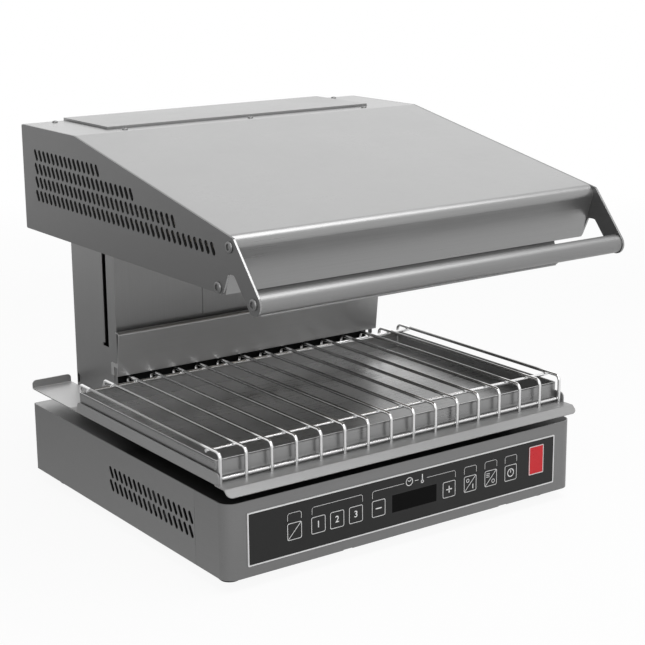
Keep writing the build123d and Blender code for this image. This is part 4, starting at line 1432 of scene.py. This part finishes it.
@dataclass
class Hood:
    """Hood with its side plates, skin, handle and heating."""

    screw_steps: int = 36
    screw_front: float = 211.0 * MM
    socket: float = 1.7
    socket_depth: float = 1.4
    socket_over: float = 1.0
    lip: float = 2.4 * MM
    lip_depth: float = 1.6 * MM
    lip_inset: float = 6.0 * MM
    lip_round: float = 0.6 * MM

    # Radius and height of each ring, in millimetres.
    SCREW_RINGS = (
        (1.5, -7.0), (2.0, -6.5), (2.0, 0.0), (4.2, 0.0), (4.2, 0.6), (4.0, 1.2), (3.5, 1.8), (2.8, 2.1),
        (2.2, 2.2),
    )

    def build(self) -> None:
        """Model the top screws and the shield's folded lip."""
        self._top_screws()
        self._shield_lip()

    def _top_screws(self) -> None:
        """Model a round-headed screw with a six-sided socket, and copy it to its places."""
        low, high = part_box("hood_top_screws")
        screw = Bench.turned("socket_screws", self.SCREW_RINGS, self.screw_steps)
        top = self.SCREW_RINGS[-1][1]
        bore = ((self.socket, top - self.socket_depth), (self.socket, top + self.socket_over))
        cutter = Bench.turned("socket_cutter", bore, HEXAGON)
        Bench.modify(screw, "BOOLEAN", object=cutter, operation="DIFFERENCE", solver="EXACT")
        bpy.data.objects.remove(cutter)
        reach = max(radius for radius, _ in self.SCREW_RINGS) * MM
        foot = high.z - top * MM
        places = [(x, low.y + reach, foot) for x in (-self.screw_front, 0.0, self.screw_front)]
        places += [(x, high.y - reach, foot) for x in (low.x + reach, high.x - reach)]
        screws = Bench.place(screw, places)
        Bench.smooth(screws)
        steel = PlainMetal("screw_steel", grey(0.2), roughness=0.3)
        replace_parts(fit(screws, "hood", steel), "hood_top_screws")

    def _shield_lip(self) -> None:
        """Model the folded lip along the shield's lower edge."""
        low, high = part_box("handle_shield")
        start = (low.x + self.lip_inset, low.y - self.lip_depth / 2, low.z - self.lip / 2)
        end = (high.x - self.lip_inset, low.y + self.lip_depth / 2, low.z + self.lip / 2)
        lip = Bench.block("shield_lip", start, end)
        Bench.soften(lip, self.lip_round)
        fit(lip, "hood", BrushedSteel("lip_steel"))

    def dress(self) -> None:
        """Finish the hood's CAD nodes."""
        skin = BrushedSteel("hood_steel", light=0.33, dark=0.27, roughness=0.32)
        dress(["hood_skin", "hood_rear_panels"], skin)
        vents = VentArea(
            front=43.0 * MM, rear=270.0 * MM, foot=430.0 * MM, head=521.0 * MM, lean=5.09, nose=-252.0 * MM
        )
        # Painted highlight on the plates' front-facing edges, and painted shade in their vent slots.
        plates = BrushedSteel("plate_steel", light=0.155, dark=0.125, edge=0.6 * MM, vents=vents, edge_highlight=0.3)
        dress(["hood_side_left", "hood_side_right"], plates)
        dress(["handle_tube"], BrushedSteel("handle_steel", roughness=0.4))
        dress(["handle_shield"], BrushedSteel("shield_steel", light=0.2, dark=0.15))
        dress(["handle_bolts", "side_bolts"], PlainMetal("fastener_steel", grey(0.22), roughness=0.3))
        dress(["hood_underside", "reflector"], HeatedSteel("heated_sheet"))
        dress(["element_tubes"], QuartzTube("radiant_quartz"))
        dress(["element_caps"], Moulded("cap_ceramic", (0.8, 0.77, 0.7), roughness=0.6))
        dress(["insulation"], Blanket("fibre_blanket"))
        dress(["thermal_cutout"], Moulded("cutout_black", grey(0.03)))


@dataclass(frozen=True)
class Lamp:
    """Soft rectangular lamp, with its power in watts."""

    name: str
    place: Point
    width: float
    height: float
    power: float

    def build(self, aim: Point) -> None:
        """Hang the lamp so that it faces a point.

        Args:
            aim: The point.
        """
        Bench.clear()
        turn = (Vector(aim) - Vector(self.place)).to_track_quat("-Z", "Y").to_euler()
        bpy.ops.object.light_add(type="AREA", location=self.place, rotation=turn)
        lamp = bpy.context.object
        lamp.name = self.name
        lamp.data.shape = "RECTANGLE"
        lamp.data.size = self.width
        lamp.data.size_y = self.height
        lamp.data.energy = self.power


@dataclass
class Studio:
    """Pale floor, soft lamps, white background and the photograph's camera."""

    camera_place: Point = (-1.284425, -1.847193, 0.836655)
    camera_turn: Point = (1.321701, 0.008221, -0.618006)
    camera_lens: float = 88.873
    camera_sensor: float = 36.0
    floor_radius: float = 3.0
    floor_steps: int = 96
    floor_near: float = 1.5
    floor_far: float = 2.8
    floor_pale: float = 0.9
    floor_white: float = 0.92
    floor_dim: float = 0.34
    floor_bright: float = 1.0
    floor_turn: float = 3.0
    floor_mean: float = 0.5
    world_level: float = 0.26
    aim: Point = (0.0, 0.0, 0.4)

    LAMPS = (
        Lamp("rear_softbox", (0.9, 1.7, 1.5), width=2.6, height=1.6, power=6.0),
        Lamp("overhead_softbox", (0.3, -0.82, 2.32), width=2.6, height=1.4, power=40.0),
        Lamp("camera_fill", (-1.7, -2.3, 1.5), width=1.5, height=1.5, power=22.0),
    )

    def build(self) -> None:
        """Set the whole studio."""
        scene = bpy.context.scene
        scene.view_settings.view_transform = "Standard"
        self._camera(scene)
        self._world(scene)
        self._floor()
        for lamp in self.LAMPS:
            lamp.build(self.aim)

    def _camera(self, scene: bpy.types.Scene) -> None:
        """Place the camera at the photograph's viewpoint.

        Args:
            scene: The scene.
        """
        Bench.clear()
        bpy.ops.object.camera_add(location=self.camera_place, rotation=self.camera_turn)
        camera = bpy.context.object
        camera.data.lens = self.camera_lens
        camera.data.sensor_width = self.camera_sensor
        camera.data.sensor_fit = "HORIZONTAL"
        scene.camera = camera

    def _world(self, scene: bpy.types.Scene) -> None:
        """White background for the camera, gloss and glass; softer light elsewhere.

        Args:
            scene: The scene.
        """
        scene.world = bpy.data.worlds.new("studio_world")
        net = Net(scene.world)
        level = self.world_level + net.background_seen() * (1.0 - self.world_level)
        sky = net.node("ShaderNodeBackground", {}, {"Color": (*WHITE, 1.0), "Strength": level})
        net.node("ShaderNodeOutputWorld", {}, {"Surface": sky.outputs[0]})

    def _floor(self) -> None:
        """Pale round floor that fades out into the background."""
        floor = Bench.disc("studio_floor", self.floor_radius, self.floor_steps)
        net = Net("floor_white")
        distance = net.node("ShaderNodeVectorMath", {"operation": "LENGTH"}, {0: net.place()})
        away = net.value(distance, "Value") - self.floor_near
        fade = (away / (self.floor_far - self.floor_near)).held()
        pale = net.node("ShaderNodeBsdfDiffuse", {}, {"Color": (*grey(self.floor_pale), 1.0)})
        x, y, _ = net.split(net.place())
        front = ((x - y) / self.floor_turn + self.floor_mean).held()
        mirrored = net.blend(front, grey(self.floor_dim), grey(self.floor_bright))
        tone = net.blend(net.ray("Glossy"), WHITE, mirrored)
        white = net.node("ShaderNodeEmission", {}, {"Color": tone, "Strength": 1.0})
        seen = net.background_seen() * self.floor_white
        lit = net.node("ShaderNodeMixShader", {}, {0: seen, 1: pale.outputs[0], 2: white.outputs[0]})
        clear = net.node("ShaderNodeBsdfTransparent", {}, {})
        mixed = net.node("ShaderNodeMixShader", {}, {0: fade, 1: lit.outputs[0], 2: clear.outputs[0]})
        net.node("ShaderNodeOutputMaterial", {}, {"Surface": mixed.outputs[0]})
        floor.data.materials.append(net.owner)


def write_sizes() -> None:
    """Bring the scene's transforms up to date."""
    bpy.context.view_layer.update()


def main() -> None:
    """Build every sub-assembly in order."""
    logging.basicConfig(level=logging.INFO, format="%(name)s: %(message)s")
    Studio().build()
    for part in (ControlPanel(), BaseCasing(), Column(), GrillTray(), Hood()):
        part.build()
        part.dress()
    write_sizes()


if __name__ == "__main__":
    main()
